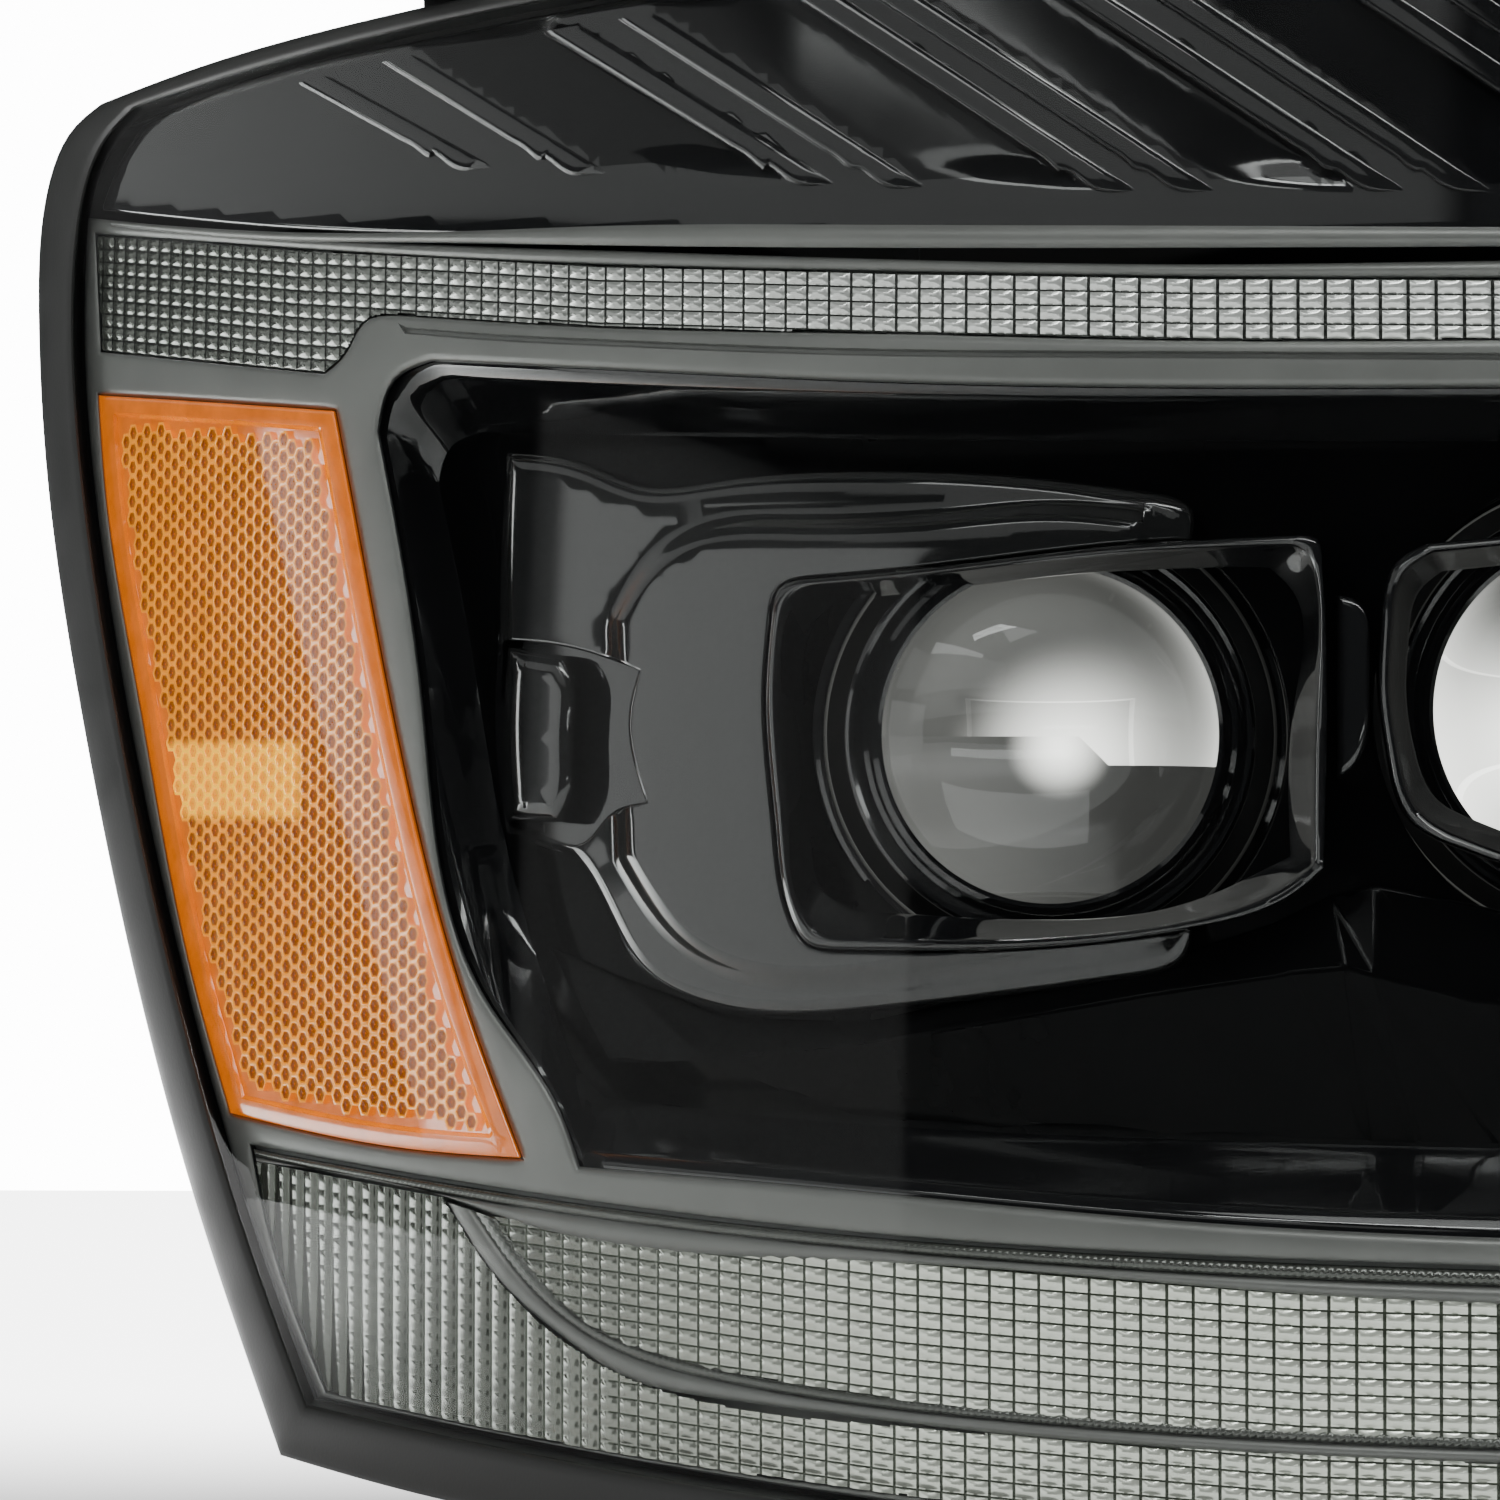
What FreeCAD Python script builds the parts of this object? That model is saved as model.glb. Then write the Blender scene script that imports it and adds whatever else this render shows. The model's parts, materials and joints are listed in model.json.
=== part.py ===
import FreeCAD, Part
import math
import os

from FreeCAD import Vector

# Right-hand pickup headlight. Millimetres, +Z up, the lamp faces -Y, +X points inboard.
# Everything is drawn about the low beam: its axis is x = 0, z = 0 and its glass stands at
# y = 0. On export it is moved so that the origin is midway between the upper tab holes.

# ---- mounting frame -------------------------------------------------------------------
TAB_Y = 72.0
TAB_Z = 152.0
TAB_X = 110.0
TAB_THICKNESS = 6.0
TAB_HALF = 14.0
SLEEVE_RADIUS = 5.0
TAB_HOLE_RADIUS = 3.3
LOCATING_PIN = (5.0, 20.0)
LOCATING_PLACE = (122.0, -70.0)

# ---- swept face: y = sweep(x) + lean(z) -----------------------------------------------
SWEEP_X = 175.0
SWEEP_FRONT = -87.8
SWEEP_SQUARE = 11.0
SWEEP_CUBE = 1.7
LEAN_SLOPE = 0.10
LEAN_CURVE = 0.0003
FACE_X = (-240.0, 210.0)
FACE_Z = (-190.0, 190.0)
FAR = 400.0

# ---- depths behind the face, along Y --------------------------------------------------
FRAME_DEPTH = (-0.6, 16.0)
LENS_DEPTH = (0.0, 3.0)
SEAL_DEPTH = (16.0, 18.0)
PANEL_DEPTH = (7.0, 11.0)
TRIM_DEPTH = (9.0, 14.0)
REFLECTOR_DEPTH = (7.5, 12.5)
OPTIC_DEPTH = (10.0, 15.0)
BOX_DEPTH = (15.0, 25.0)
BOARD_DEPTH = (22.0, 24.0)
FLANGE_DEPTH = (18.0, 40.0)
CAVITY_DEPTH = (10.0, 37.0)
BEZEL_WALL_DEPTH = (14.5, 36.5)
BEZEL_BACK_DEPTH = (33.0, 36.5)
PROJECTOR_BEZEL_DEPTH = (20.0, 33.0)
WING_DEPTH = (27.0, 33.0)
POD_DEPTH = (24.0, 33.0)
SCREW_PAD_END = 46.0
TRIM_SCREWS = ((-120.0, 130.0), (-60.0, 135.0), (60.0, 135.0), (120.0, 132.0))
WALL = 3.0
THIN_WALL = 2.0
GAP = 0.4

# ---- projectors: glass plane at y = 0 for the low beam --------------------------------
LOW_AXIS = (0.0, 0.0, 0.0)
HIGH_AXIS = (101.0, -12.0, 4.5)
GLASS_RADIUS = 32.0
GLASS_CROWN = 14.0
GLASS_RIM = 4.0
RING_RADIUS = 38.0
BODY_RADIUS = 35.0
BODY_END = 64.0
BODY_WALL = 3.5
RELIEF_RADIUS = 41.5
SINK_HALF = 31.0
SINK_END = 98.0
SINK_BASE = 5.0
SINK_FINS = 9
FIN_THICKNESS = 2.0

# ---- carrier and aim adjuster ---------------------------------------------------------
CARRIER_DEPTH = (40.0, 44.0)
FLANGE_HALF = 40.0
SCREW_OFFSET = 33.0
PIVOT_Y = 50.0
PIVOT_Z = 68.0
PIVOT_RADIUS = 4.0
RUN_FIT = 0.05
AIM_X = 51.0
AIM_Z = -40.0
AIM_ROD_RADIUS = 3.0
PIVOT_EARS = ((-30.0, -24.5), (126.0, 120.5))
NUT_SHANK = 7.0
BALL_RADIUS = 5.0
SOCKET_CLEARANCE = 0.3
BALL_FLAT = 1.0

# ---- cut-off shutter ------------------------------------------------------------------
SHUTTER_Y = 33.0
SHUTTER_Z = -18.0
SHUTTER_PIN_RADIUS = 1.5
SHUTTER_ARM = 7.0

# ---- rear tub and service caps --------------------------------------------------------
TUB_FRONT = -70.0
TUB_BACK = 118.0
NECK_RADIUS = 39.0
NECK_BORE = 36.0
NECK_LENGTH = 14.0
CAP_RADIUS = 44.5
CAP_BORE = 41.8
TUB_MOUTH = (-128.0, 168.0, -138.0, 136.0)
TUB_REAR = (-97.0, 152.0, -93.0, 90.0)
TUB_CORNER = 20.0
VENT_PLACES = ((-75.0, 62.0), (-75.0, -66.0))

# ---- driver and its socket ------------------------------------------------------------
DRIVER = (-90.0, -52.0, -36.0, 36.0)
DRIVER_DEPTH = 22.0
DRIVER_FINS = 9
DRIVER_FIN_PITCH = 4.25
DRIVER_SCREWS = ((-47.0, -30.0), (-47.0, 30.0), (-71.0, 41.0))
SOCKET = (-84.0, -58.0, 122.0, 138.0)
SOCKET_LENGTH = 22.0
SOCKET_WALL = 2.0
SOCKET_PINS = 4
SOCKET_PIN_PITCH = 5.0

# ---- slanting ribs of the top panel ---------------------------------------------------
SLAT_STARTS = (-148.0, -134.0, -101.0, -85.0, -53.0, -36.0, 0.0, 16.0, 50.0, 66.0, 100.0, 116.0)
SLAT_LENGTH = 62.0
SLAT_DROP = 0.68
SLAT_WIDTH = 5.0
SLAT_FOOT = 95.0


def sweep(x):
    t = (SWEEP_X - x) / 100
    return SWEEP_FRONT + SWEEP_SQUARE * t**2 + SWEEP_CUBE * t**3


def lean(z):
    return LEAN_SLOPE * z + LEAN_CURVE * z**2


def face_y(x, z, behind=0.0):
    return sweep(x) + lean(z) + behind


def face_surface(behind):
    """The swept face as one exact patch, moved back along Y."""
    x0, x1 = FACE_X
    z0, z1 = FACE_Z
    span_x = x1 - x0
    xs = [x0 + span_x * i / 3 for i in range(4)]
    zs = [z0 + (z1 - z0) * j / 2 for j in range(3)]
    samples = [sweep(x) for x in xs]
    inner = (-5 * samples[0] + 18 * samples[1] - 9 * samples[2] + 2 * samples[3]) / 6
    outer = (2 * samples[0] - 9 * samples[1] + 18 * samples[2] - 5 * samples[3]) / 6
    along = [samples[0], inner, outer, samples[3]]
    middle = 2 * lean(zs[1]) - (lean(zs[0]) + lean(zs[2])) / 2
    up = [lean(zs[0]), middle, lean(zs[2])]
    surface = Part.BezierSurface()
    surface.increase(3, 2)
    for i, x in enumerate(xs):
        for j, z in enumerate(zs):
            surface.setPole(i + 1, j + 1, Vector(x, along[i] + up[j] + behind, z))
    return surface.toShape()


def slab(depth):
    front, back = depth
    return face_surface(front).extrude(Vector(0, back - front, 0))


def curve_through(points):
    corners = [Vector(x, 0, z) for x, z in points]
    if len(corners) == 2:
        return Part.LineSegment(corners[0], corners[1])
    curve = Part.BSplineCurve()
    curve.interpolate(corners)
    return curve


def outline(*runs):
    """A closed outline in XZ. Each run is smooth, and it ends where the next one starts."""
    return list(runs)


def polygon(*points):
    """An outline whose runs are all straight."""
    return [list(pair) for pair in zip(points, points[1:] + points[:1])]


def side_normals(run, turn):
    """The outward normal at each point of a run."""
    curve = curve_through(run)
    normals = []
    for x, z in run:
        tangent = curve.tangent(curve.parameter(Vector(x, 0, z)))[0]
        normals.append((turn * tangent.z, -turn * tangent.x))
    return normals


def grown(runs, by):
    """The outline moved outwards by a distance, or inwards where it is negative."""
    points = [point for run in runs for point in run]
    doubled_area = sum(a[0] * b[1] - b[0] * a[1] for a, b in zip(points, points[1:] + points[:1]))
    turn = math.copysign(1, doubled_area)
    normals = [side_normals(run, turn) for run in runs]
    moved = []
    for index, run in enumerate(runs):
        before = normals[index - 1][-1]
        after = normals[(index + 1) % len(runs)][0]
        own = normals[index]
        shifts = [mitre(before, own[0])] + own[1:-1] + [mitre(own[-1], after)]
        moved.append([(x + by * dx, z + by * dz) for (x, z), (dx, dz) in zip(run, shifts)])
    return moved


def mitre(first, second):
    share = 1 + first[0] * second[0] + first[1] * second[1]
    return ((first[0] + second[0]) / share, (first[1] + second[1]) / share)


def extruded(wire, start, end):
    solid = Part.Face(wire).extrude(Vector(0, end - start, 0))
    solid.translate(Vector(0, start, 0))
    return solid


def prism(runs, start=-FAR / 2, end=FAR):
    return extruded(Part.Wire([curve_through(run).toShape() for run in runs]), start, end)


def plate(runs, depth, *openings):
    """A plate that follows the swept face, with openings cut straight through it."""
    shape = prism(runs).common(slab(depth))
    for opening in openings:
        shape = shape.cut(prism(opening))
    return shape


def rounded(x0, x1, z0, z1, radius, y=0.0):
    """A rounded rectangle in XZ as a wire at one y."""
    corners = [(x1, z1, 0), (x0, z1, 90), (x0, z0, 180), (x1, z0, 270)]
    edges = []
    points = []
    for cx, cz, turn in corners:
        ox = cx - math.copysign(radius, cx - (x0 + x1) / 2)
        oz = cz - math.copysign(radius, cz - (z0 + z1) / 2)
        arc = []
        for step in (0, 45, 90):
            angle = math.radians(turn + step)
            arc.append(Vector(ox + radius * math.cos(angle), y, oz + radius * math.sin(angle)))
        points.append(arc)
    for index, arc in enumerate(points):
        edges.append(Part.Arc(*arc).toShape())
        following = points[(index + 1) % 4]
        edges.append(Part.LineSegment(arc[2], following[0]).toShape())
    return Part.Wire(edges)


def box(x0, x1, y0, y1, z0, z1):
    return Part.makeBox(x1 - x0, y1 - y0, z1 - z0, Vector(x0, y0, z0))


def rod(radius, length, x, y, z, direction=(0, 1, 0)):
    return Part.makeCylinder(radius, length, Vector(x, y, z), Vector(*direction))


def pipe(outer, inner, length, x, y, z, direction=(0, 1, 0)):
    return rod(outer, length, x, y, z, direction).cut(rod(inner, length, x, y, z, direction))


def fused(*shapes):
    whole = shapes[0]
    for shape in shapes[1:]:
        whole = whole.fuse(shape)
    return whole.removeSplitter()


def revolved(profile, x, y, z):
    """Turns a closed (radius, depth) profile about the optical axis through x, y, z."""
    points = [Vector(x + radius, y + depth, z) for radius, depth in profile]
    return turned(Part.makePolygon(points + points[:1]), x, y, z)


def turned(wire, x, y, z):
    return Part.Face(wire).revolve(Vector(x, y, z), Vector(0, 1, 0), 360)


def ball_on_stem(radius, stem, end, x, y, z):
    """A ball with a small flat nose and a stem along +Y that ends at y = end."""
    joint = math.sqrt(radius**2 - stem**2)
    nose_y = y - math.sqrt(radius**2 - BALL_FLAT**2)
    nose = Vector(x, nose_y, z)
    nose_edge = Vector(x + BALL_FLAT, nose_y, z)
    neck_point = Vector(x + stem, y + joint, z)
    tip = Vector(x + stem, end, z)
    centre = Vector(x, end, z)
    arc = Part.Arc(nose_edge, Vector(x + radius, y, z), neck_point).toShape()
    lines = [(nose, nose_edge), (neck_point, tip), (tip, centre), (centre, nose)]
    edges = [Part.LineSegment(*ends).toShape() for ends in lines]
    return turned(Part.Wire([edges[0], arc] + edges[1:]), x, y, z)


# ---- outlines seen from the front, as (x, z) -------------------------------------------
RIM_OUTER = outline(
    [(-151, -141), (-155, -131.5), (-169.5, -96.5), (-184.5, -53), (-201, 8.5), (-209.5, 50),
     (-213.5, 92.5), (-212, 115), (-205.5, 128), (-198, 132.5)],
    [(-198, 132.5), (-173, 137), (-130, 142), (-46, 148), (36, 148.5), (131, 145.5), (160, 143)],
    [(160, 143), (171, 137), (174.5, 122)],
    [(174.5, 122), (174.5, 57), (172, -28), (167, -136)],
    [(167, -136), (163, -149), (150, -155)],
    [(150, -155), (78, -154.5), (-27, -149.5), (-117, -145.5), (-151, -141)],
)
RIM_INNER = outline(
    [(-145, -130.5), (-160.5, -94.5), (-175, -53), (-192.5, 12), (-200, 49.5), (-204, 91.5),
     (-202.5, 110), (-196.5, 124.5), (-189, 130.5)],
    [(-189, 130.5), (-173, 133), (-127.5, 138.5), (-46, 143.5), (36, 144), (131, 141), (156, 138.5)],
    [(156, 138.5), (164, 134), (167, 123)],
    [(167, 123), (167.5, 57), (165, -28), (161, -130)],
    [(161, -130), (157, -141), (146, -145)],
    [(146, -145), (78, -144.5), (-45.5, -139.5), (-125, -132.5), (-145, -130.5)],
)
PANEL = outline(
    [(-198, 111.5), (-195, 118), (-188.5, 127)],
    [(-188.5, 127), (-174, 131), (-128, 136.5), (-46, 141.5), (36, 142), (131, 139), (154, 136.5)],
    [(154, 136.5), (162, 131.5), (165, 122)],
    [(165, 122), (165, 85.5)],
    [(165, 85.5), (79.5, 87), (-27.5, 90.5), (-85.5, 95), (-149.5, 101.5), (-198, 111.5)],
)
TRIM = outline(
    [(-143.5, -129.5), (-159, -94.5), (-173.5, -53), (-191, 12), (-198.5, 49.5), (-202.5, 91.5),
     (-202, 109.5)],
    [(-202, 109.5), (-149.5, 100), (-85.5, 92.5), (-27.5, 87.5), (27, 84.5), (79.5, 83.8), (165.5, 83)],
    [(165.5, 83), (166, 57), (163.5, -28), (159.5, -130)],
    [(159.5, -130), (156, -140), (146, -143.5)],
    [(146, -143.5), (78, -143), (-45.5, -138), (-125, -131), (-143.5, -129.5)],
)
TOP_LAMP = outline(
    [(-199.5, 105.5), (-197.5, 81)],
    [(-197.5, 81), (-173, 77), (-144, 72.5)],
    [(-144, 72.5), (-139.5, 76), (-135.5, 82), (-127.5, 83)],
    [(-127.5, 83), (-85.5, 78), (-27.5, 74), (27, 71), (79.5, 70), (160, 70)],
    [(160, 70), (160, 80)],
    [(160, 80), (79.5, 80.5), (27, 82), (-27.5, 85), (-85.5, 89.5), (-150, 97.5), (-199.5, 105.5)],
)
REFLECTOR = outline(
    [(-198, 71.5), (-141.5, 64.5)],
    [(-141.5, 64.5), (-137.5, 46.5), (-126.5, -2.5), (-112.5, -50.5), (-100.5, -80)],
    [(-100.5, -80), (-125.5, -79.5), (-163.5, -75)],
    [(-163.5, -75), (-173.5, -45.5), (-186.5, 8), (-195.5, 49.5), (-198, 71.5)],
)
MAIN_OPENING = outline(
    [(-120.5, 73), (-128, 70), (-131.5, 60)],
    [(-131.5, 60), (-121.5, 7), (-107.5, -50.5), (-93.5, -69), (-88.5, -81)],
    [(-88.5, -81), (-46, -82.5), (26, -86.5), (78, -88), (148, -88.5)],
    [(148, -88.5), (155, -84), (157, -70)],
    [(157, -70), (160, 0), (160, 50)],
    [(160, 50), (157, 58), (148, 60.5)],
    [(148, 60.5), (79.5, 61), (-27.5, 64.5), (-85.5, 69.5), (-120.5, 73)],
)
LOWER_LAMP = outline(
    [(-158.5, -81.5), (-104.5, -86.5), (-27, -91.5), (44, -93.2), (156, -94)],
    [(156, -94), (154.5, -128)],
    [(154.5, -128), (151, -138), (142, -141.5)],
    [(142, -141.5), (78, -141.5), (-36.5, -137), (-104.5, -132), (-141.5, -128)],
    [(-141.5, -128), (-154.5, -98), (-158.5, -81.5)],
)
UPPER_CELLS = outline(
    [(-104.5, -92.5), (-27, -96), (44, -99), (155.8, -99.5)],
    [(155.8, -99.5), (155, -122.5)],
    [(155, -122.5), (78, -122.5), (-9, -121), (-63.5, -116.3)],
    [(-63.5, -116.3), (-88.5, -109), (-104.5, -92.5)],
)
LOWER_CELLS = outline(
    [(-157.5, -84.5), (-117, -88.5)],
    [(-117, -88.5), (-104.5, -104.5), (-80, -120), (-48, -125.3)],
    [(-48, -125.3), (26, -127), (78, -127.7), (154.6, -127.7)],
    [(154.6, -127.7), (151, -138), (142, -141.3)],
    [(142, -141.3), (78, -141.3), (-36.5, -136.8), (-104.5, -131.8), (-141.3, -127.8)],
    [(-141.3, -127.8), (-154, -98), (-157.5, -84.5)],
)
UPPER_RIB = outline(
    [(-158.3, -81.9), (-104.5, -86.9), (-27, -91.9), (44, -93.6), (155.6, -94.4)],
    [(155.6, -94.4), (155.5, -99.1)],
    [(155.5, -99.1), (44, -98.6), (-27, -95.6), (-104.5, -92.1)],
    [(-104.5, -92.1), (-117, -88.1)],
    [(-117, -88.1), (-157.6, -84.1)],
    [(-157.6, -84.1), (-158.3, -81.9)],
)
LOWER_RIB = outline(
    [(-116, -89), (-105.2, -92.4)],
    [(-105.2, -92.4), (-89, -109.5), (-63.6, -116.8)],
    [(-63.6, -116.8), (-9, -121.5), (78, -123), (154.8, -123)],
    [(154.8, -123), (154.6, -127.2)],
    [(154.6, -127.2), (78, -127.2), (26, -126.5), (-48, -124.8)],
    [(-48, -124.8), (-80, -119.5), (-104.2, -104), (-116, -89)],
)
LOW_BEZEL = outline(
    [(-46.5, 29), (-50, 28), (-52, 22), (-53, 6.5), (-51, -17.5), (-47.5, -35), (-45, -38.5),
     (-40.5, -39.5)],
    [(-40.5, -39.5), (-9, -39), (27, -34.5), (44, -28.5), (49, -24)],
    [(49, -24), (49.5, 6), (48.8, 32), (48, 35), (45, 35.8)],
    [(45, 35.8), (9, 34), (-27.5, 30.3), (-46.5, 29)],
)
LOW_OPENING = outline(
    [(-40, 25.5), (-44, 22), (-46.5, 6.5), (-45, -18), (-42, -30), (-36, -33)],
    [(-36, -33), (-9, -34), (27, -30), (43.5, -22)],
    [(43.5, -22), (44.3, 6), (43.5, 27), (40, 30.5)],
    [(40, 30.5), (9, 30), (-27.5, 26.5), (-40, 25.5)],
)
HIGH_BEZEL = outline(
    [(67, 34), (62, 31), (59, 19), (58.5, 9.5), (60, -4), (64, -15.5), (69, -19)],
    [(69, -19), (90, -26), (115, -29), (136, -28)],
    [(136, -28), (146, -20), (149, 5), (146, 30), (138, 37)],
    [(138, 37), (115, 38), (90, 36), (67, 34)],
)
HIGH_OPENING = outline(
    [(70, 29.5), (66, 26), (64, 17), (63.5, 8), (65, -3), (69, -12), (74, -15)],
    [(74, -15), (90, -21), (113, -24.5), (133, -23.5)],
    [(133, -23.5), (141, -16), (143.5, 5), (141, 26), (134, 32)],
    [(134, 32), (113, 33.5), (90, 31.5), (70, 29.5)],
)
WING = outline(
    [(-106, 55.5), (-89.5, 52.5), (-78, 48), (-62.5, 48.5), (-37.5, 49.5), (0, 47), (20, 44)],
    [(20, 44), (26, 41), (26, 36)],
    [(26, 36), (26, -36)],
    [(26, -36), (24, -41), (16, -44)],
    [(16, -44), (-31.5, -51), (-62, -51.5), (-78, -44.5), (-94, -22), (-104, -19)],
    [(-104, -19), (-107, 18), (-106, 55.5)],
)
POD = outline(
    [(-99, 16), (-92.5, 14)],
    [(-92.5, 14), (-91.5, 0), (-92.5, -14.5)],
    [(-92.5, -14.5), (-99, -16.5)],
    [(-99, -16.5), (-100, 0), (-99, 16)],
)


# ---- face parts ------------------------------------------------------------------------
def make_lens_frame():
    return plate(RIM_OUTER, FRAME_DEPTH, RIM_INNER)


def make_outer_lens():
    return plate(RIM_INNER, LENS_DEPTH)


def make_lens_seal():
    return plate(grown(RIM_OUTER, -1.5), SEAL_DEPTH, grown(RIM_OUTER, -5.0))


def panel_floor(x):
    """The height where the slats end."""
    return SLAT_FOOT + 0.0004 * (x - 60) ** 2


def slat(x):
    """One slanting rib: it starts on the panel's top edge and runs down to the right."""
    foot = x + SLAT_LENGTH
    low = panel_floor(foot)
    high = low + SLAT_LENGTH * SLAT_DROP
    return polygon((x, high), (x + SLAT_WIDTH * 2, high), (foot, low), (foot - 6, low))


def make_top_panel():
    front, back = PANEL_DEPTH
    base = plate(PANEL, (front + 1.5, back))
    ridge_depth = (front, front + 1.5)
    for x in SLAT_STARTS:
        rib = plate(slat(x), ridge_depth).common(prism(PANEL))
        base = base.fuse(rib)
    for x, z in TRIM_SCREWS:
        boss = rod(4.0, 40, x, face_y(x, z, back - 1), z).common(slab((back - 1, CAVITY_DEPTH[1])))
        base = base.fuse(boss).cut(rod(1.8, 60, x, face_y(x, z, back + 4), z))
    return base


def make_bezel_frame():
    openings = (grown(TOP_LAMP, GAP), grown(REFLECTOR, GAP), MAIN_OPENING, grown(LOWER_LAMP, GAP))
    return plate(TRIM, TRIM_DEPTH, *openings)


def light_box(lamp):
    return plate(lamp, BOX_DEPTH, grown(lamp, -THIN_WALL))


def board(lamp):
    return plate(grown(lamp, -THIN_WALL), BOARD_DEPTH)


def make_marker_tray():
    wall = grown(REFLECTOR, -0.3)
    tray = plate(wall, (REFLECTOR_DEPTH[1], BOX_DEPTH[1]))
    return tray.cut(plate(grown(wall, -THIN_WALL), (REFLECTOR_DEPTH[1] - 5, BOX_DEPTH[1] - 2)))


def make_main_bezel():
    """Gloss black walls behind the trim opening, closed by a back with two beam openings."""
    wall = plate(grown(MAIN_OPENING, THIN_WALL), BEZEL_WALL_DEPTH, MAIN_OPENING)
    back = plate(grown(MAIN_OPENING, 1.0), BEZEL_BACK_DEPTH)
    for x, _, z in (LOW_AXIS, HIGH_AXIS):
        back = back.cut(rod(RELIEF_RADIUS + 1.5, FAR, x, -FAR / 2, z))
    return wall.fuse(back).removeSplitter()


def relieved(shape, axis):
    """Cuts a round pocket so that the tilting projector clears the shape."""
    x, y, z = axis
    return shape.cut(rod(RELIEF_RADIUS, FAR, x, y - 8.5, z))


def projector_bezel(rim, opening, axis):
    return relieved(plate(rim, PROJECTOR_BEZEL_DEPTH, opening), axis)


def make_wing():
    cover = plate(WING, WING_DEPTH, grown(LOW_BEZEL, GAP), grown(POD, GAP))
    step = plate(grown(WING, -9), (WING_DEPTH[0] - 3, WING_DEPTH[0]), grown(LOW_BEZEL, GAP), grown(POD, 2))
    left_of_line = box(-86, 200, -FAR / 2, FAR, -60, 60)
    return relieved(cover.fuse(step.common(left_of_line)).removeSplitter(), LOW_AXIS)


# ---- rear housing ----------------------------------------------------------------------
def tub(inset):
    """The tapered tub: a loft from a wide mouth to the smaller back wall."""
    wires = []
    for (x0, x1, z0, z1), y in ((TUB_MOUTH, TUB_FRONT), (TUB_REAR, TUB_BACK - inset)):
        wires.append(rounded(x0 + inset, x1 - inset, z0 + inset, z1 - inset, TUB_CORNER, y))
    return Part.makeLoft(wires, True, True)


def neck(axis):
    x, _, z = axis
    shape = rod(NECK_RADIUS, NECK_LENGTH + 1, x, TUB_BACK - 1, z)
    end = TUB_BACK + NECK_LENGTH
    for turn in (0, 120, 240):
        lug = box(NECK_RADIUS - 1, NECK_RADIUS + 2.2, end - 6, end - 3, -6, 6)
        lug.rotate(Vector(0, 0, 0), Vector(0, 1, 0), turn)
        lug.translate(Vector(x, 0, z))
        shape = shape.fuse(lug)
    return shape


def tab(x, web_y, web_foot):
    """A mounting tab with its web down to the housing."""
    top = box(x - TAB_HALF, x + TAB_HALF, TAB_Y - TAB_HALF, web_y[1], TAB_Z - TAB_THICKNESS, TAB_Z)
    web = box(x - TAB_HALF, x + TAB_HALF, web_y[0], web_y[1], web_foot, TAB_Z - TAB_THICKNESS)
    return top.fuse(web)


def make_rear_housing():
    flange = plate(grown(RIM_OUTER, -0.8), FLANGE_DEPTH)
    cavity = plate(grown(RIM_OUTER, -5.5), CAVITY_DEPTH)
    behind = slab((FLANGE_DEPTH[0] + 4, FAR))
    shell = flange.fuse(tub(0).common(behind))
    for axis in (LOW_AXIS, HIGH_AXIS):
        shell = shell.fuse(neck(axis))
    shell = shell.fuse(tab(-TAB_X, (96, 108), 130)).fuse(tab(TAB_X, (76, 88), 94))
    for x, z in TRIM_SCREWS:
        start = face_y(x, z, CAVITY_DEPTH[1] - 6)
        shell = shell.fuse(rod(6.0, face_y(x, z, SCREW_PAD_END) - start, x, start, z))
    shell = shell.cut(cavity).cut(tub(WALL).common(slab((5, FAR))))
    for x, z in DRIVER_SCREWS:
        shell = shell.cut(rod(2.1, 4, x, TUB_BACK - 3.5, z))
    for x, ear in PIVOT_EARS:
        stand = box(x, x + 5, PIVOT_Y - 7, PIVOT_Y + 7, PIVOT_Z - 7, 104)
        shell = shell.fuse(stand).cut(rod(PIVOT_RADIUS + RUN_FIT, 5, x, PIVOT_Y, PIVOT_Z, (1, 0, 0)))
    for x, _, z in (LOW_AXIS, HIGH_AXIS):
        shell = shell.cut(rod(NECK_BORE, 60, x, TUB_BACK - 20, z))
    for x in (-TAB_X, TAB_X):
        shell = shell.cut(rod(SLEEVE_RADIUS, 12, x, TAB_Y, TAB_Z - 10, (0, 0, 1)))
    shell = shell.cut(rod(NUT_SHANK + RUN_FIT, 20, AIM_X, TUB_BACK - 10, AIM_Z))
    for x, z in TRIM_SCREWS:
        shell = shell.cut(rod(2.2, 60, x, face_y(x, z, 30), z))
    return shell.removeSplitter()


def make_tab_sleeves():
    length = TAB_THICKNESS + 1
    places = (-TAB_X, TAB_X)
    return Part.makeCompound([
        pipe(SLEEVE_RADIUS, TAB_HOLE_RADIUS, length, x, TAB_Y, TAB_Z - TAB_THICKNESS, (0, 0, 1))
        for x in places
    ])


def make_locating_pin():
    radius, length = LOCATING_PIN
    x, z = LOCATING_PLACE
    collar = rod(radius + 3, 3, x, TUB_BACK, z)
    point = Part.makeCone(radius, radius - 2, 3, Vector(x, TUB_BACK + length, z), Vector(0, 1, 0))
    return fused(collar, rod(radius, length, x, TUB_BACK, z), point)


def make_trim_screws():
    screws = []
    for x, z in TRIM_SCREWS:
        seat = face_y(x, z, SCREW_PAD_END)
        shank = rod(1.75, 24, x, seat - 24, z)
        screws.append(shank.fuse(rod(4.0, 2.5, x, seat, z)))
    return Part.makeCompound(screws)


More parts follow.
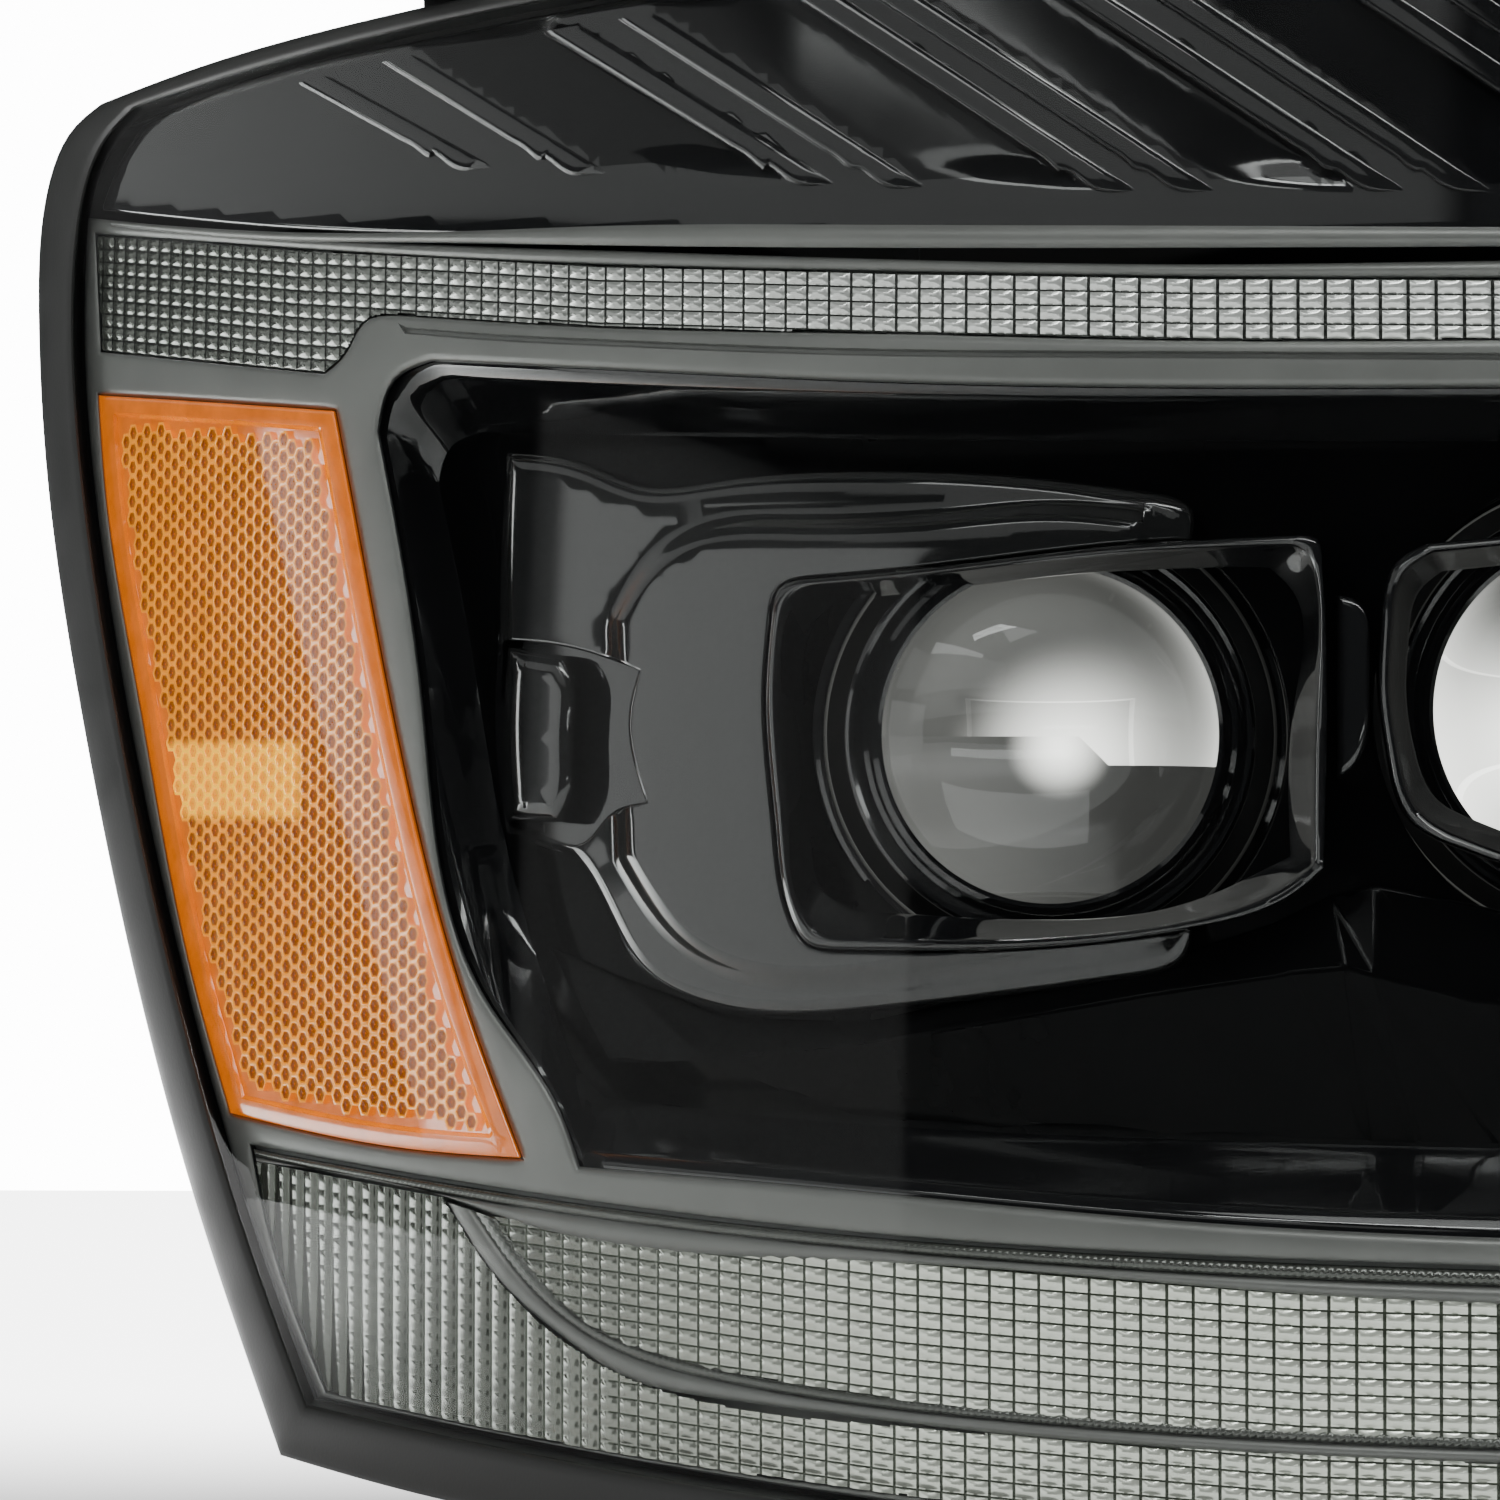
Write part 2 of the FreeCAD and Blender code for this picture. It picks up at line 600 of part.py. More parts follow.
def make_dust_cap(axis):
    x, _, z = axis
    start = TUB_BACK + 1.5
    end = TUB_BACK + NECK_LENGTH + 1.2
    profile = [(CAP_BORE, start), (CAP_RADIUS, start), (CAP_RADIUS, end + 1), (CAP_RADIUS - 2, end + 3),
               (0, end + 3), (0, end), (CAP_BORE, end)]
    cap = revolved(profile, x, 0, z)
    for turn in (20, 140, 260):
        lug = box(NECK_RADIUS + 0.4, CAP_BORE + 1, start, start + 3, -5, 5)
        lug.rotate(Vector(0, 0, 0), Vector(0, 1, 0), turn)
        lug.translate(Vector(x, 0, z))
        cap = cap.fuse(lug)
    for count in range(18):
        rib = rod(1.4, end + 1 - start, x + CAP_RADIUS, start, z)
        rib.rotate(Vector(x, 0, z), Vector(0, 1, 0), 20 * count)
        cap = cap.fuse(rib)
    return cap.fuse(box(x - 30, x + 30, end + 3, end + 13, z - 4, z + 4)).removeSplitter()


def make_cap_seal(axis):
    x, _, z = axis
    end = TUB_BACK + NECK_LENGTH
    return pipe(NECK_RADIUS - 0.3, NECK_BORE + 0.2, 1.1, x, end + 0.1, z)


def make_vent_caps():
    caps = []
    for x, z in VENT_PLACES:
        cap = rod(4, 4, x, TUB_BACK, z).fuse(rod(8, 9, x, TUB_BACK + 3, z))
        caps.append(cap.cut(pipe(6.5, 5, 4, x, TUB_BACK + 3, z)))
    return Part.makeCompound(caps)


# ---- driver ----------------------------------------------------------------------------
def make_driver():
    x0, x1, z0, z1 = DRIVER
    top = TUB_BACK + DRIVER_DEPTH
    case = box(x0, x1, TUB_BACK, top - 5, z0, z1)
    for count in range(DRIVER_FINS):
        x = x0 + 1 + count * DRIVER_FIN_PITCH
        case = case.fuse(box(x, x + 2, top - 5, top, z0 + 2, z1 - 2))
    for x, z in DRIVER_SCREWS:
        case = case.fuse(rod(5.5, 4, x, TUB_BACK, z)).cut(rod(2.1, 6, x, TUB_BACK - 1, z))
    return case.removeSplitter()


def make_driver_screws():
    screws = []
    for x, z in DRIVER_SCREWS:
        screws.append(rod(2.1, 7, x, TUB_BACK - 3, z).fuse(rod(4, 2.5, x, TUB_BACK + 4, z)))
    return Part.makeCompound(screws)


def make_connector():
    x0, x1, y0, y1 = SOCKET
    top = DRIVER[2]
    shell = box(x0, x1, y0, y1, top - SOCKET_LENGTH, top)
    wall = SOCKET_WALL
    shell = shell.cut(box(x0 + wall, x1 - wall, y0 + wall, y1 - wall, top - SOCKET_LENGTH, top - 4))
    middle = (y0 + y1) / 2
    for count in range(SOCKET_PINS):
        x = (x0 + x1) / 2 + SOCKET_PIN_PITCH * (count - (SOCKET_PINS - 1) / 2)
        shell = shell.fuse(box(x - 0.6, x + 0.6, middle - 0.6, middle + 0.6, top - 12, top - 3))
    return shell.removeSplitter()


# ---- projectors ------------------------------------------------------------------------
def moved_to(axis, shape):
    shape.translate(Vector(*axis))
    return shape


def glass_curve():
    """Sphere radius of the glass dome from its crown and its width."""
    return (GLASS_RADIUS**2 + GLASS_CROWN**2) / (2 * GLASS_CROWN)


def make_glass(axis):
    radius = glass_curve()
    ball = Part.makeSphere(radius, Vector(0, radius - GLASS_CROWN, 0))
    dome = ball.common(rod(GLASS_RADIUS, GLASS_CROWN, 0, -GLASS_CROWN, 0))
    return moved_to(axis, dome.fuse(rod(GLASS_RADIUS, GLASS_RIM, 0, 0, 0)).removeSplitter())


def make_ring(axis):
    profile = [(GLASS_RADIUS, 0), (GLASS_RADIUS - 1, -1.15), (GLASS_RADIUS - 1, -1.9),
               (RING_RADIUS - 1.5, -2.4), (RING_RADIUS, -1), (RING_RADIUS, 8), (BODY_RADIUS, 8),
               (BODY_RADIUS, 4), (GLASS_RADIUS, 4)]
    return moved_to(axis, revolved(profile, 0, 0, 0))


def make_projector(axis):
    """A can with its mounting flange on the carrier plane; a floor bracket holds the shutter."""
    inner = BODY_RADIUS - BODY_WALL
    end = BODY_END
    profile = [(inner, GLASS_RIM), (BODY_RADIUS, GLASS_RIM), (BODY_RADIUS, end), (0, end),
               (0, end - WALL), (inner, end - WALL)]
    can = moved_to(axis, revolved(profile, 0, 0, 0))
    x, _, z = axis
    seat = CARRIER_DEPTH[1]
    half = FLANGE_HALF
    flange = extruded(rounded(x - half, x + half, z - half, z + half, 8), seat, seat + 3)
    flange = flange.cut(rod(BODY_RADIUS - 1, 20, x, seat - 8, z))
    for dx, dz in screw_places():
        flange = flange.cut(rod(1.8, 20, x + dx, seat - 8, z + dz))
    return can.fuse(flange).removeSplitter()


def screw_places():
    return [(dx, dz) for dx in (-SCREW_OFFSET, SCREW_OFFSET) for dz in (-SCREW_OFFSET, SCREW_OFFSET)]


def make_retainer_screws():
    seat = CARRIER_DEPTH[1] + 3
    screws = []
    for x, _, z in (LOW_AXIS, HIGH_AXIS):
        for dx, dz in screw_places():
            shank = rod(1.75, 8, x + dx, seat - 8, z + dz)
            screws.append(shank.fuse(rod(3.2, 2.2, x + dx, seat, z + dz)))
    return Part.makeCompound(screws)


def make_led_board(axis):
    base = box(-13, 13, BODY_END - WALL - 1.6, BODY_END - WALL, -13, 13)
    emitter = box(-4, 4, BODY_END - WALL - 2.8, BODY_END - WALL - 1.6, -2, 2)
    return moved_to(axis, base.fuse(emitter))


def make_heat_sink(axis):
    half = SINK_HALF
    sink = box(-half, half, BODY_END, BODY_END + SINK_BASE, -half, half)
    step = (2 * half - FIN_THICKNESS) / (SINK_FINS - 1)
    for count in range(SINK_FINS):
        x = -half + count * step
        sink = sink.fuse(box(x, x + FIN_THICKNESS, BODY_END + SINK_BASE, SINK_END, -half, half))
    return moved_to(axis, sink.removeSplitter())


# ---- carrier and aim adjuster ----------------------------------------------------------
def make_carrier():
    front, back = CARRIER_DEPTH
    plate_shape = extruded(rounded(-44, 146, -46, 60, 8), front, back)
    for x, _, z in (LOW_AXIS, HIGH_AXIS):
        plate_shape = plate_shape.cut(rod(BODY_RADIUS, 20, x, front - 8, z))
        for dx, dz in screw_places():
            plate_shape = plate_shape.cut(rod(1.8, 20, x + dx, front - 8, z + dz))
    for _, x in PIVOT_EARS:
        ear = box(x, x + 4.5, front, PIVOT_Y + 7, 50, PIVOT_Z + 7)
        plate_shape = plate_shape.fuse(ear)
    for _, x in PIVOT_EARS:
        plate_shape = plate_shape.cut(rod(PIVOT_RADIUS, 4.5, x, PIVOT_Y, PIVOT_Z, (1, 0, 0)))
    cup = box(AIM_X - 7, AIM_X + 7, back - 1, PIVOT_Y + 5, AIM_Z - 7, AIM_Z + 7)
    mouth = BALL_RADIUS - 0.6
    hollow = ball_on_stem(BALL_RADIUS + SOCKET_CLEARANCE, mouth, PIVOT_Y + 10, AIM_X, PIVOT_Y, AIM_Z)
    return plate_shape.fuse(cup).removeSplitter().cut(hollow)


def make_pivot_pins():
    pins = []
    for stand, ear in PIVOT_EARS:
        start = min(stand, ear) - 0.5
        pins.append(rod(PIVOT_RADIUS, 11, start, PIVOT_Y, PIVOT_Z, (1, 0, 0)))
    return Part.makeCompound(pins)


def make_aim_screw():
    return ball_on_stem(BALL_RADIUS, AIM_ROD_RADIUS, TUB_BACK + 6, AIM_X, PIVOT_Y, AIM_Z)


def make_aim_nut():
    shank = rod(NUT_SHANK, WALL + 0.6, AIM_X, TUB_BACK - WALL - 0.3, AIM_Z)
    keeper = rod(NUT_SHANK + 2.5, 2.5, AIM_X, TUB_BACK - WALL - 2.8, AIM_Z)
    collar = rod(NUT_SHANK + 4, 3, AIM_X, TUB_BACK + 0.3, AIM_Z)
    corners = []
    for count in range(7):
        angle = math.radians(60 * count)
        corners.append(Vector(AIM_X + 9 * math.cos(angle), TUB_BACK + 3.3, AIM_Z + 9 * math.sin(angle)))
    hexagon = Part.Face(Part.makePolygon(corners)).extrude(Vector(0, 12, 0))
    bore = rod(AIM_ROD_RADIUS + 0.3, 40, AIM_X, TUB_BACK - 10, AIM_Z)
    return fused(shank, keeper, collar, hexagon).cut(bore)


# ---- cut-off shutter -------------------------------------------------------------------
def make_shutter():
    y, z = SHUTTER_Y, SHUTTER_Z
    flap = box(-19, 19, y - 0.6, y + 0.6, z + 2, z + 18)
    notch = Part.makePolygon([Vector(2, y - 2, 1), Vector(6, y - 2, -3), Vector(20, y - 2, -3),
                              Vector(20, y - 2, 1), Vector(2, y - 2, 1)])
    flap = flap.cut(Part.Face(notch).extrude(Vector(0, 4, 0)))
    knuckle = rod(2.6, 38, -19, y, z, (1, 0, 0))
    arm = box(-3, 3, y - 1, y + 1, z - SHUTTER_ARM - 1, z)
    return fused(flap, knuckle, arm).cut(rod(SHUTTER_PIN_RADIUS + RUN_FIT, 60, -30, y, z, (1, 0, 0)))


def make_shutter_pin():
    """The pin reaches the can's wall at both ends, where it is held."""
    reach = math.sqrt((BODY_RADIUS - BODY_WALL) ** 2 - SHUTTER_Z**2)
    return rod(SHUTTER_PIN_RADIUS, 2 * reach + 1.2, -reach - 0.6, SHUTTER_Y, SHUTTER_Z, (1, 0, 0))


def make_solenoid():
    case = box(-7, 7, 41, 57, -28, -17.5)
    foot = box(-7, 7, 57, BODY_END - WALL, -27, -20)
    return fused(case, foot).cut(rod(2.0 + RUN_FIT, 12, 0, 41, SHUTTER_Z - SHUTTER_ARM + 2))


def make_plunger():
    z = SHUTTER_Z - SHUTTER_ARM + 2
    return rod(2.0, 14, 0, SHUTTER_Y + 1.4, z)


# ---- all the pieces --------------------------------------------------------------------
def make_parts():
    parts = {
        "rear_housing": make_rear_housing(),
        "lens_seal": make_lens_seal(),
        "lens_frame": make_lens_frame(),
        "outer_lens": make_outer_lens(),
        "top_panel": make_top_panel(),
        "bezel_frame": make_bezel_frame(),
        "main_bezel": make_main_bezel(),
        "wing_shroud": make_wing(),
        "side_pod": plate(POD, POD_DEPTH),
        "top_lens": plate(TOP_LAMP, OPTIC_DEPTH),
        "top_light_box": light_box(TOP_LAMP),
        "top_led_board": board(TOP_LAMP),
        "side_reflector": plate(REFLECTOR, REFLECTOR_DEPTH),
        "marker_tray": make_marker_tray(),
        "lower_lens_upper": plate(UPPER_CELLS, OPTIC_DEPTH),
        "lower_lens_lower": plate(LOWER_CELLS, OPTIC_DEPTH),
        "lower_rib_upper": plate(UPPER_RIB, TRIM_DEPTH),
        "lower_rib_lower": plate(LOWER_RIB, TRIM_DEPTH),
        "lower_light_box": light_box(LOWER_LAMP),
        "lower_led_board": board(LOWER_LAMP),
        "low_bezel": projector_bezel(LOW_BEZEL, LOW_OPENING, LOW_AXIS),
        "high_bezel": projector_bezel(HIGH_BEZEL, HIGH_OPENING, HIGH_AXIS),
        "tab_sleeves": make_tab_sleeves(),
        "locating_pin": make_locating_pin(),
        "trim_screws": make_trim_screws(),
        "vent_caps": make_vent_caps(),
        "driver_module": make_driver(),
        "driver_screws": make_driver_screws(),
        "connector_socket": make_connector(),
        "aim_carrier": make_carrier(),
        "pivot_pins": make_pivot_pins(),
        "retainer_screws": make_retainer_screws(),
        "aim_screw": make_aim_screw(),
        "aim_nut": make_aim_nut(),
        "cutoff_shutter": make_shutter(),
        "shutter_pin": make_shutter_pin(),
        "solenoid": make_solenoid(),
        "solenoid_plunger": make_plunger(),
    }
    for name, axis in (("low", LOW_AXIS), ("high", HIGH_AXIS)):
        parts[name + "_projector"] = make_projector(axis)
        parts[name + "_lens"] = make_glass(axis)
        parts[name + "_lens_ring"] = make_ring(axis)
        parts[name + "_led_board"] = make_led_board(axis)
        parts[name + "_heat_sink"] = make_heat_sink(axis)
        parts[name + "_dust_cap"] = make_dust_cap(axis)
        parts[name + "_cap_seal"] = make_cap_seal(axis)
    return parts


def main():
    os.makedirs("parts", exist_ok=True)
    for name, shape in make_parts().items():
        shape.translate(Vector(0, -TAB_Y, -TAB_Z))
        shape.exportStep("parts/" + name + ".step")
        print(name, shape.isValid(), len(shape.Solids), round(shape.Volume / 1000, 2))


main()
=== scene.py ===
import json
import math

import bmesh
import bpy
import numpy as np
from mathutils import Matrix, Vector
from mathutils.geometry import delaunay_2d_cdt


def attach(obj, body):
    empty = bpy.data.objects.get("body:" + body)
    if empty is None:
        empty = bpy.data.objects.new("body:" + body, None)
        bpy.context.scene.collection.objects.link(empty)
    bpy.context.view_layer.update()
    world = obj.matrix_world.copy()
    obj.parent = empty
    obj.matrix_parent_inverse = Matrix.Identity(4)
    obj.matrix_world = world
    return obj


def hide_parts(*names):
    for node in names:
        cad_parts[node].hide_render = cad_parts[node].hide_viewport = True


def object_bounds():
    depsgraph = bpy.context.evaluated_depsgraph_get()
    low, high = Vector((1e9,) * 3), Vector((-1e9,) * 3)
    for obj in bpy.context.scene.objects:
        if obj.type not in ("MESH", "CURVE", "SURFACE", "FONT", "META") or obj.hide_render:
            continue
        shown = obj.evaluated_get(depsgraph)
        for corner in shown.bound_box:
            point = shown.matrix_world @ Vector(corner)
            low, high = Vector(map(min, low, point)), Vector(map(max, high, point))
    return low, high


# Everything is drawn in millimetres about the low beam's glass, like the CAD part: x points
# inboard, y backwards, z up. SHIFT moves it to the row frame.
SHIFT = np.array([0.0, -72.0, -152.0])
LOW_AXIS = (0.0, 0.0, 0.0)
HIGH_AXIS = (101.0, -12.0, 4.5)
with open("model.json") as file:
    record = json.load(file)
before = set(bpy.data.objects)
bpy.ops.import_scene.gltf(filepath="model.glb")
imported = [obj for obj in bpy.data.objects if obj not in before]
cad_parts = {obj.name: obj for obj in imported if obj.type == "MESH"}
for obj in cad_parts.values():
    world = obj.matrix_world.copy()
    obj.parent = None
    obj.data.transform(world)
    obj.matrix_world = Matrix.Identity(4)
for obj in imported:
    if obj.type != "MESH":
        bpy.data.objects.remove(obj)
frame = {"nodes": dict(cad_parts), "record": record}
CAD_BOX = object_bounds()
SLOT_OF = {part["node"]: part["material_slot"] for part in frame["record"]["subparts"]}
BODY_OF = {node: body for body, nodes in frame["record"]["behaviour"]["bodies"].items() for node in nodes}


# ---- the swept face ---------------------------------------------------------------------
def face(x, z):
    """How far back the lens stands at (x, z)."""
    t = (175.0 - x) / 100.0
    return -87.8 + 11.0 * t**2 + 1.7 * t**3 + 0.10 * z + 0.0003 * z**2


def arc_table():
    xs = np.linspace(-230.0, 200.0, 1721)
    ys = face(xs, 0.0)
    steps = np.hypot(np.diff(xs), np.diff(ys))
    return xs, np.concatenate([[0.0], np.cumsum(steps)])


ARC_X, ARC_LENGTH = arc_table()


def arc_of(x):
    """Distance along the sweep."""
    return np.interp(x, ARC_X, ARC_LENGTH)


def x_of(arc):
    return np.interp(arc, ARC_LENGTH, ARC_X)


# ---- curves -----------------------------------------------------------------------------
def spline(points, count):
    """A natural cubic curve through the points, sampled evenly."""
    points = np.asarray(points, float)
    if len(points) == 2:
        return points[0] + np.linspace(0, 1, count)[:, None] * (points[1] - points[0])
    knots = np.concatenate([[0.0], np.cumsum(np.linalg.norm(np.diff(points, axis=0), axis=1))])
    gaps = np.diff(knots)
    size = len(points)
    matrix = np.eye(size)
    right = np.zeros((size, points.shape[1]))
    for i in range(1, size - 1):
        matrix[i, i - 1: i + 2] = gaps[i - 1], 2 * (gaps[i - 1] + gaps[i]), gaps[i]
        right[i] = 6 * ((points[i + 1] - points[i]) / gaps[i] - (points[i] - points[i - 1]) / gaps[i - 1])
    bend = np.linalg.solve(matrix, right)

    def value(t):
        i = np.clip(np.searchsorted(knots, t, side="right") - 1, 0, size - 2)
        h = gaps[i][:, None]
        a = (knots[i + 1] - t)[:, None]
        b = (t - knots[i])[:, None]
        return (bend[i] * a**3 + bend[i + 1] * b**3) / (6 * h) \
            + (points[i] / h - bend[i] * h / 6) * a + (points[i + 1] / h - bend[i + 1] * h / 6) * b

    fine = value(np.linspace(0, knots[-1], 400))
    length = np.concatenate([[0.0], np.cumsum(np.linalg.norm(np.diff(fine, axis=0), axis=1))])
    even = np.linspace(0, length[-1], count)
    return np.stack([np.interp(even, length, fine[:, k]) for k in range(points.shape[1])], axis=1)


def run_length(run):
    return np.linalg.norm(np.diff(np.asarray(run, float), axis=0), axis=1).sum()


def loop(runs, step=2.5):
    """A closed outline from smooth runs that end where the next one starts."""
    parts = [spline(run, max(3, int(run_length(run) / step) + 1))[:-1] for run in runs]
    return np.concatenate(parts)


def twin_loops(runs_a, runs_b, step=2.0):
    """Two outlines with the same runs, sampled point for point."""
    first, second = [], []
    for run_a, run_b in zip(runs_a, runs_b):
        count = max(5, int(run_length(run_a) / step) + 1)
        first.append(spline(run_a, count)[:-1])
        second.append(spline(run_b, count)[:-1])
    return np.concatenate(first), np.concatenate(second)


def turn_of(line):
    x, z = line[:, 0], line[:, 1]
    return math.copysign(1.0, np.sum(x * np.roll(z, -1) - np.roll(x, -1) * z))


def inset(line, by):
    """The closed outline moved inwards."""
    back = line - np.roll(line, 1, axis=0)
    ahead = np.roll(line, -1, axis=0) - line
    normals = []
    for edge in (back, ahead):
        edge = edge / np.maximum(np.linalg.norm(edge, axis=1), 1e-9)[:, None]
        normals.append(np.stack([-edge[:, 1], edge[:, 0]], axis=1))
    share = np.maximum(1 + np.sum(normals[0] * normals[1], axis=1), 0.35)
    return line + by * turn_of(line) * (normals[0] + normals[1]) / share[:, None]


def beside(line, by):
    """An open line moved sideways."""
    tangent = np.gradient(line, axis=0)
    tangent /= np.maximum(np.linalg.norm(tangent, axis=1), 1e-9)[:, None]
    return line + by * np.stack([-tangent[:, 1], tangent[:, 0]], axis=1)


def inside(points, line):
    x, z = points[:, 0][:, None], points[:, 1][:, None]
    ax, az = line[:, 0][None], line[:, 1][None]
    bx, bz = np.roll(line[:, 0], -1)[None], np.roll(line[:, 1], -1)[None]
    crosses = (az > z) != (bz > z)
    rise = np.where(np.abs(bz - az) < 1e-12, 1e-12, bz - az)
    hits = crosses & (x < (bx - ax) * (z - az) / rise + ax)
    return hits.sum(axis=1) % 2 == 1


def distance(points, line, closed=True):
    """Distance from each point to a line."""
    starts = line if closed else line[:-1]
    ends = np.roll(line, -1, axis=0) if closed else line[1:]
    best = np.full(len(points), 1e9)
    for low in range(0, len(starts), 64):
        a = starts[low: low + 64][None]
        b = ends[low: low + 64][None]
        span = b - a
        share = np.sum((points[:, None] - a) * span, axis=2) / np.maximum(np.sum(span**2, axis=2), 1e-12)
        near = a + np.clip(share, 0, 1)[:, :, None] * span
        best = np.minimum(best, np.linalg.norm(points[:, None] - near, axis=2).min(axis=1))
    return best


def smooth(t):
    t = np.clip(t, 0.0, 1.0)
    return t * t * (3 - 2 * t)


def depth_inside(x, z, line):
    """Distance from the line for points within it, and 0 outside."""
    points = np.stack([x, z], axis=1)
    return np.where(inside(points, line), distance(points, line), 0.0)


def closed_rings(line, steps):
    rings = [inset(line, step) for step in steps]
    return [np.vstack([ring, ring[:1]]) for ring in rings]


# ---- meshes -----------------------------------------------------------------------------
def add_piece(name, verts, faces, material, node, stands_for=True, sharp=30.0, second=None,
              second_faces=()):
    """Makes one closed piece in the row frame and hangs it on the CAD body of its node."""
    data = bpy.data.meshes.new(name)
    data.from_pydata(((np.asarray(verts) + SHIFT) / 1000.0).tolist(), [],
                     [tuple(int(i) for i in f) for f in faces])
    data.materials.append(material)
    if second is not None:
        data.materials.append(second)
        for index in second_faces:
            data.polygons[index].material_index = 1
    shape = bmesh.new()
    shape.from_mesh(data)
    bmesh.ops.remove_doubles(shape, verts=shape.verts, dist=2e-6)
    bmesh.ops.dissolve_degenerate(shape, edges=shape.edges, dist=1e-6)
    bmesh.ops.recalc_face_normals(shape, faces=shape.faces)
    shape.to_mesh(data)
    shape.free()
    data.polygons.foreach_set("use_smooth", [True] * len(data.polygons))
    data.set_sharp_from_angle(angle=math.radians(sharp))
    obj = bpy.data.objects.new(name, data)
    bpy.context.scene.collection.objects.link(obj)
    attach(obj, BODY_OF[node])
    if stands_for:
        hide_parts(node)
    return obj


def boundary(faces):
    seen = {}
    for f in faces:
        for a, b in zip(f, f[1:] + f[:1]):
            if (b, a) in seen:
                del seen[(b, a)]
            else:
                seen[(a, b)] = True
    return list(seen)


def closed(front, back, faces):
    """A solid from a front skin and a matching back skin."""
    size = len(front)
    faces = [tuple(f) for f in faces]
    sides = [(b, a, a + size, b + size) for a, b in boundary(faces)]
    behind = [tuple(i + size for i in reversed(f)) for f in faces]
    return np.concatenate([front, back]), faces + behind + sides


def on_face(flat, depth):
    x, z = flat[:, 0], flat[:, 1]
    return np.stack([x, face(x, z) + depth, z], axis=1)


def plate(name, outline, depth, thick, material, node, holes=(), relief=None, lines=(), radius=0.8,
          hole_radius=None, spacing=5.0, stands_for=True, sharp=30.0, second=None, second_where=None):
    """A plate on the swept face with rounded edges, holes and a relief."""
    if hole_radius is None:
        hole_radius = radius
    loops = [(outline, 1.0, radius)] + [(hole, -1.0, hole_radius) for hole in holes]
    coords, edges = [], []

    def add(line, is_closed):
        start = len(coords)
        coords.extend(line.tolist())
        count = len(line)
        last = count if is_closed else count - 1
        edges.extend((start + i, start + (i + 1) % count) for i in range(last))

    for line, side, bend in loops:
        for share in (0.0, 0.1, 0.3, 0.6, 1.0):
            add(inset(line, share * bend * side), True)
    for line in lines:
        add(line, False)
    low, high = outline.min(0), outline.max(0)
    grid = np.stack(np.meshgrid(np.arange(low[0], high[0], spacing), np.arange(low[1], high[1], spacing)),
                    -1)
    grid = grid.reshape(-1, 2)
    keep = inside(grid, outline)
    grid = grid[keep]
    near = np.minimum.reduce([distance(grid, line) - bend for line, _, bend in loops] +
                             [distance(grid, line, False) for line in lines])
    grid = grid[near > 0.35 * spacing]
    coords.extend(grid.tolist())
    made = delaunay_2d_cdt([Vector(c) for c in coords], edges, [], 0, 1e-4)
    flat = np.array([tuple(v) for v in made[0]])
    tris = np.array(made[2])
    middle = flat[tris].mean(axis=1)
    keep = inside(middle, outline)
    for hole in holes:
        keep &= ~inside(middle, hole)
    tris = tris[keep]
    used, tris = np.unique(tris, return_inverse=True)
    tris = tris.reshape(-1, 3)
    flat = flat[used]
    fall = np.zeros(len(flat))
    for line, _, bend in loops:
        edge = np.minimum(distance(flat, line), bend)
        fall = np.maximum(fall, bend - np.sqrt(np.maximum(bend**2 - (bend - edge)**2, 0)))
    rise = fall if relief is None else fall + relief(flat[:, 0], flat[:, 1])
    front = on_face(flat, depth + rise)
    back = on_face(flat, depth + thick)
    verts, faces = closed(front, back, tris.tolist())
    marked = ()
    if second is not None:
        middle = flat[tris].mean(axis=1)
        marked = np.nonzero(second_where(middle[:, 0], middle[:, 1]))[0]
    return add_piece(name, verts, faces, material, node, stands_for, sharp, second, marked)


def ring_between(name, first, second, section, material, node, sharp=35.0):
    """A closed band between two outlines; the section lists (share, depth) round its skin."""
    count = len(first)
    rows = [on_face(first + share * (second - first), depth) for share, depth in section]
    verts = np.concatenate(rows)
    faces = []
    for r in range(len(rows)):
        here, there = r * count, ((r + 1) % len(rows)) * count
        for i in range(count):
            j = (i + 1) % count
            faces.append((here + i, here + j, there + j, there + i))
    return add_piece(name, verts, faces, material, node, True, sharp)


def grid_faces(nu, nv, keep=None):
    faces = []
    for i in range(nu):
        for j in range(nv):
            if keep is None or keep[i, j]:
                a = i * (nv + 1) + j
                faces.append((a, a + nv + 1, a + nv + 2, a + 1))
    return faces


def compact(points, faces):
    used = sorted({i for f in faces for i in f})
    place = {old: new for new, old in enumerate(used)}
    return points[used], [tuple(place[i] for i in f) for f in faces]


def strip(name, top, low, depth, thick, material, node, step=3.0, across=6, relief=None, stands_for=True,
          sharp=35.0):
    """A strip between two lines. The relief gets the arc length and the share from top to bottom."""
    count = max(4, int(run_length(top) / step))
    a, b = spline(top, count + 1), spline(low, count + 1)
    share = np.linspace(0, 1, across + 1)
    flat = a[:, None] * (1 - share)[None, :, None] + b[:, None] * share[None, :, None]
    flat = flat.reshape(-1, 2)
    shares = np.tile(share, count + 1)
    rise = 0.0 if relief is None else relief(arc_of(flat[:, 0]), shares)
    verts, faces = closed(on_face(flat, depth + rise), on_face(flat, depth + thick),
                          grid_faces(count, across))
    return add_piece(name, verts, faces, material, node, stands_for, sharp)


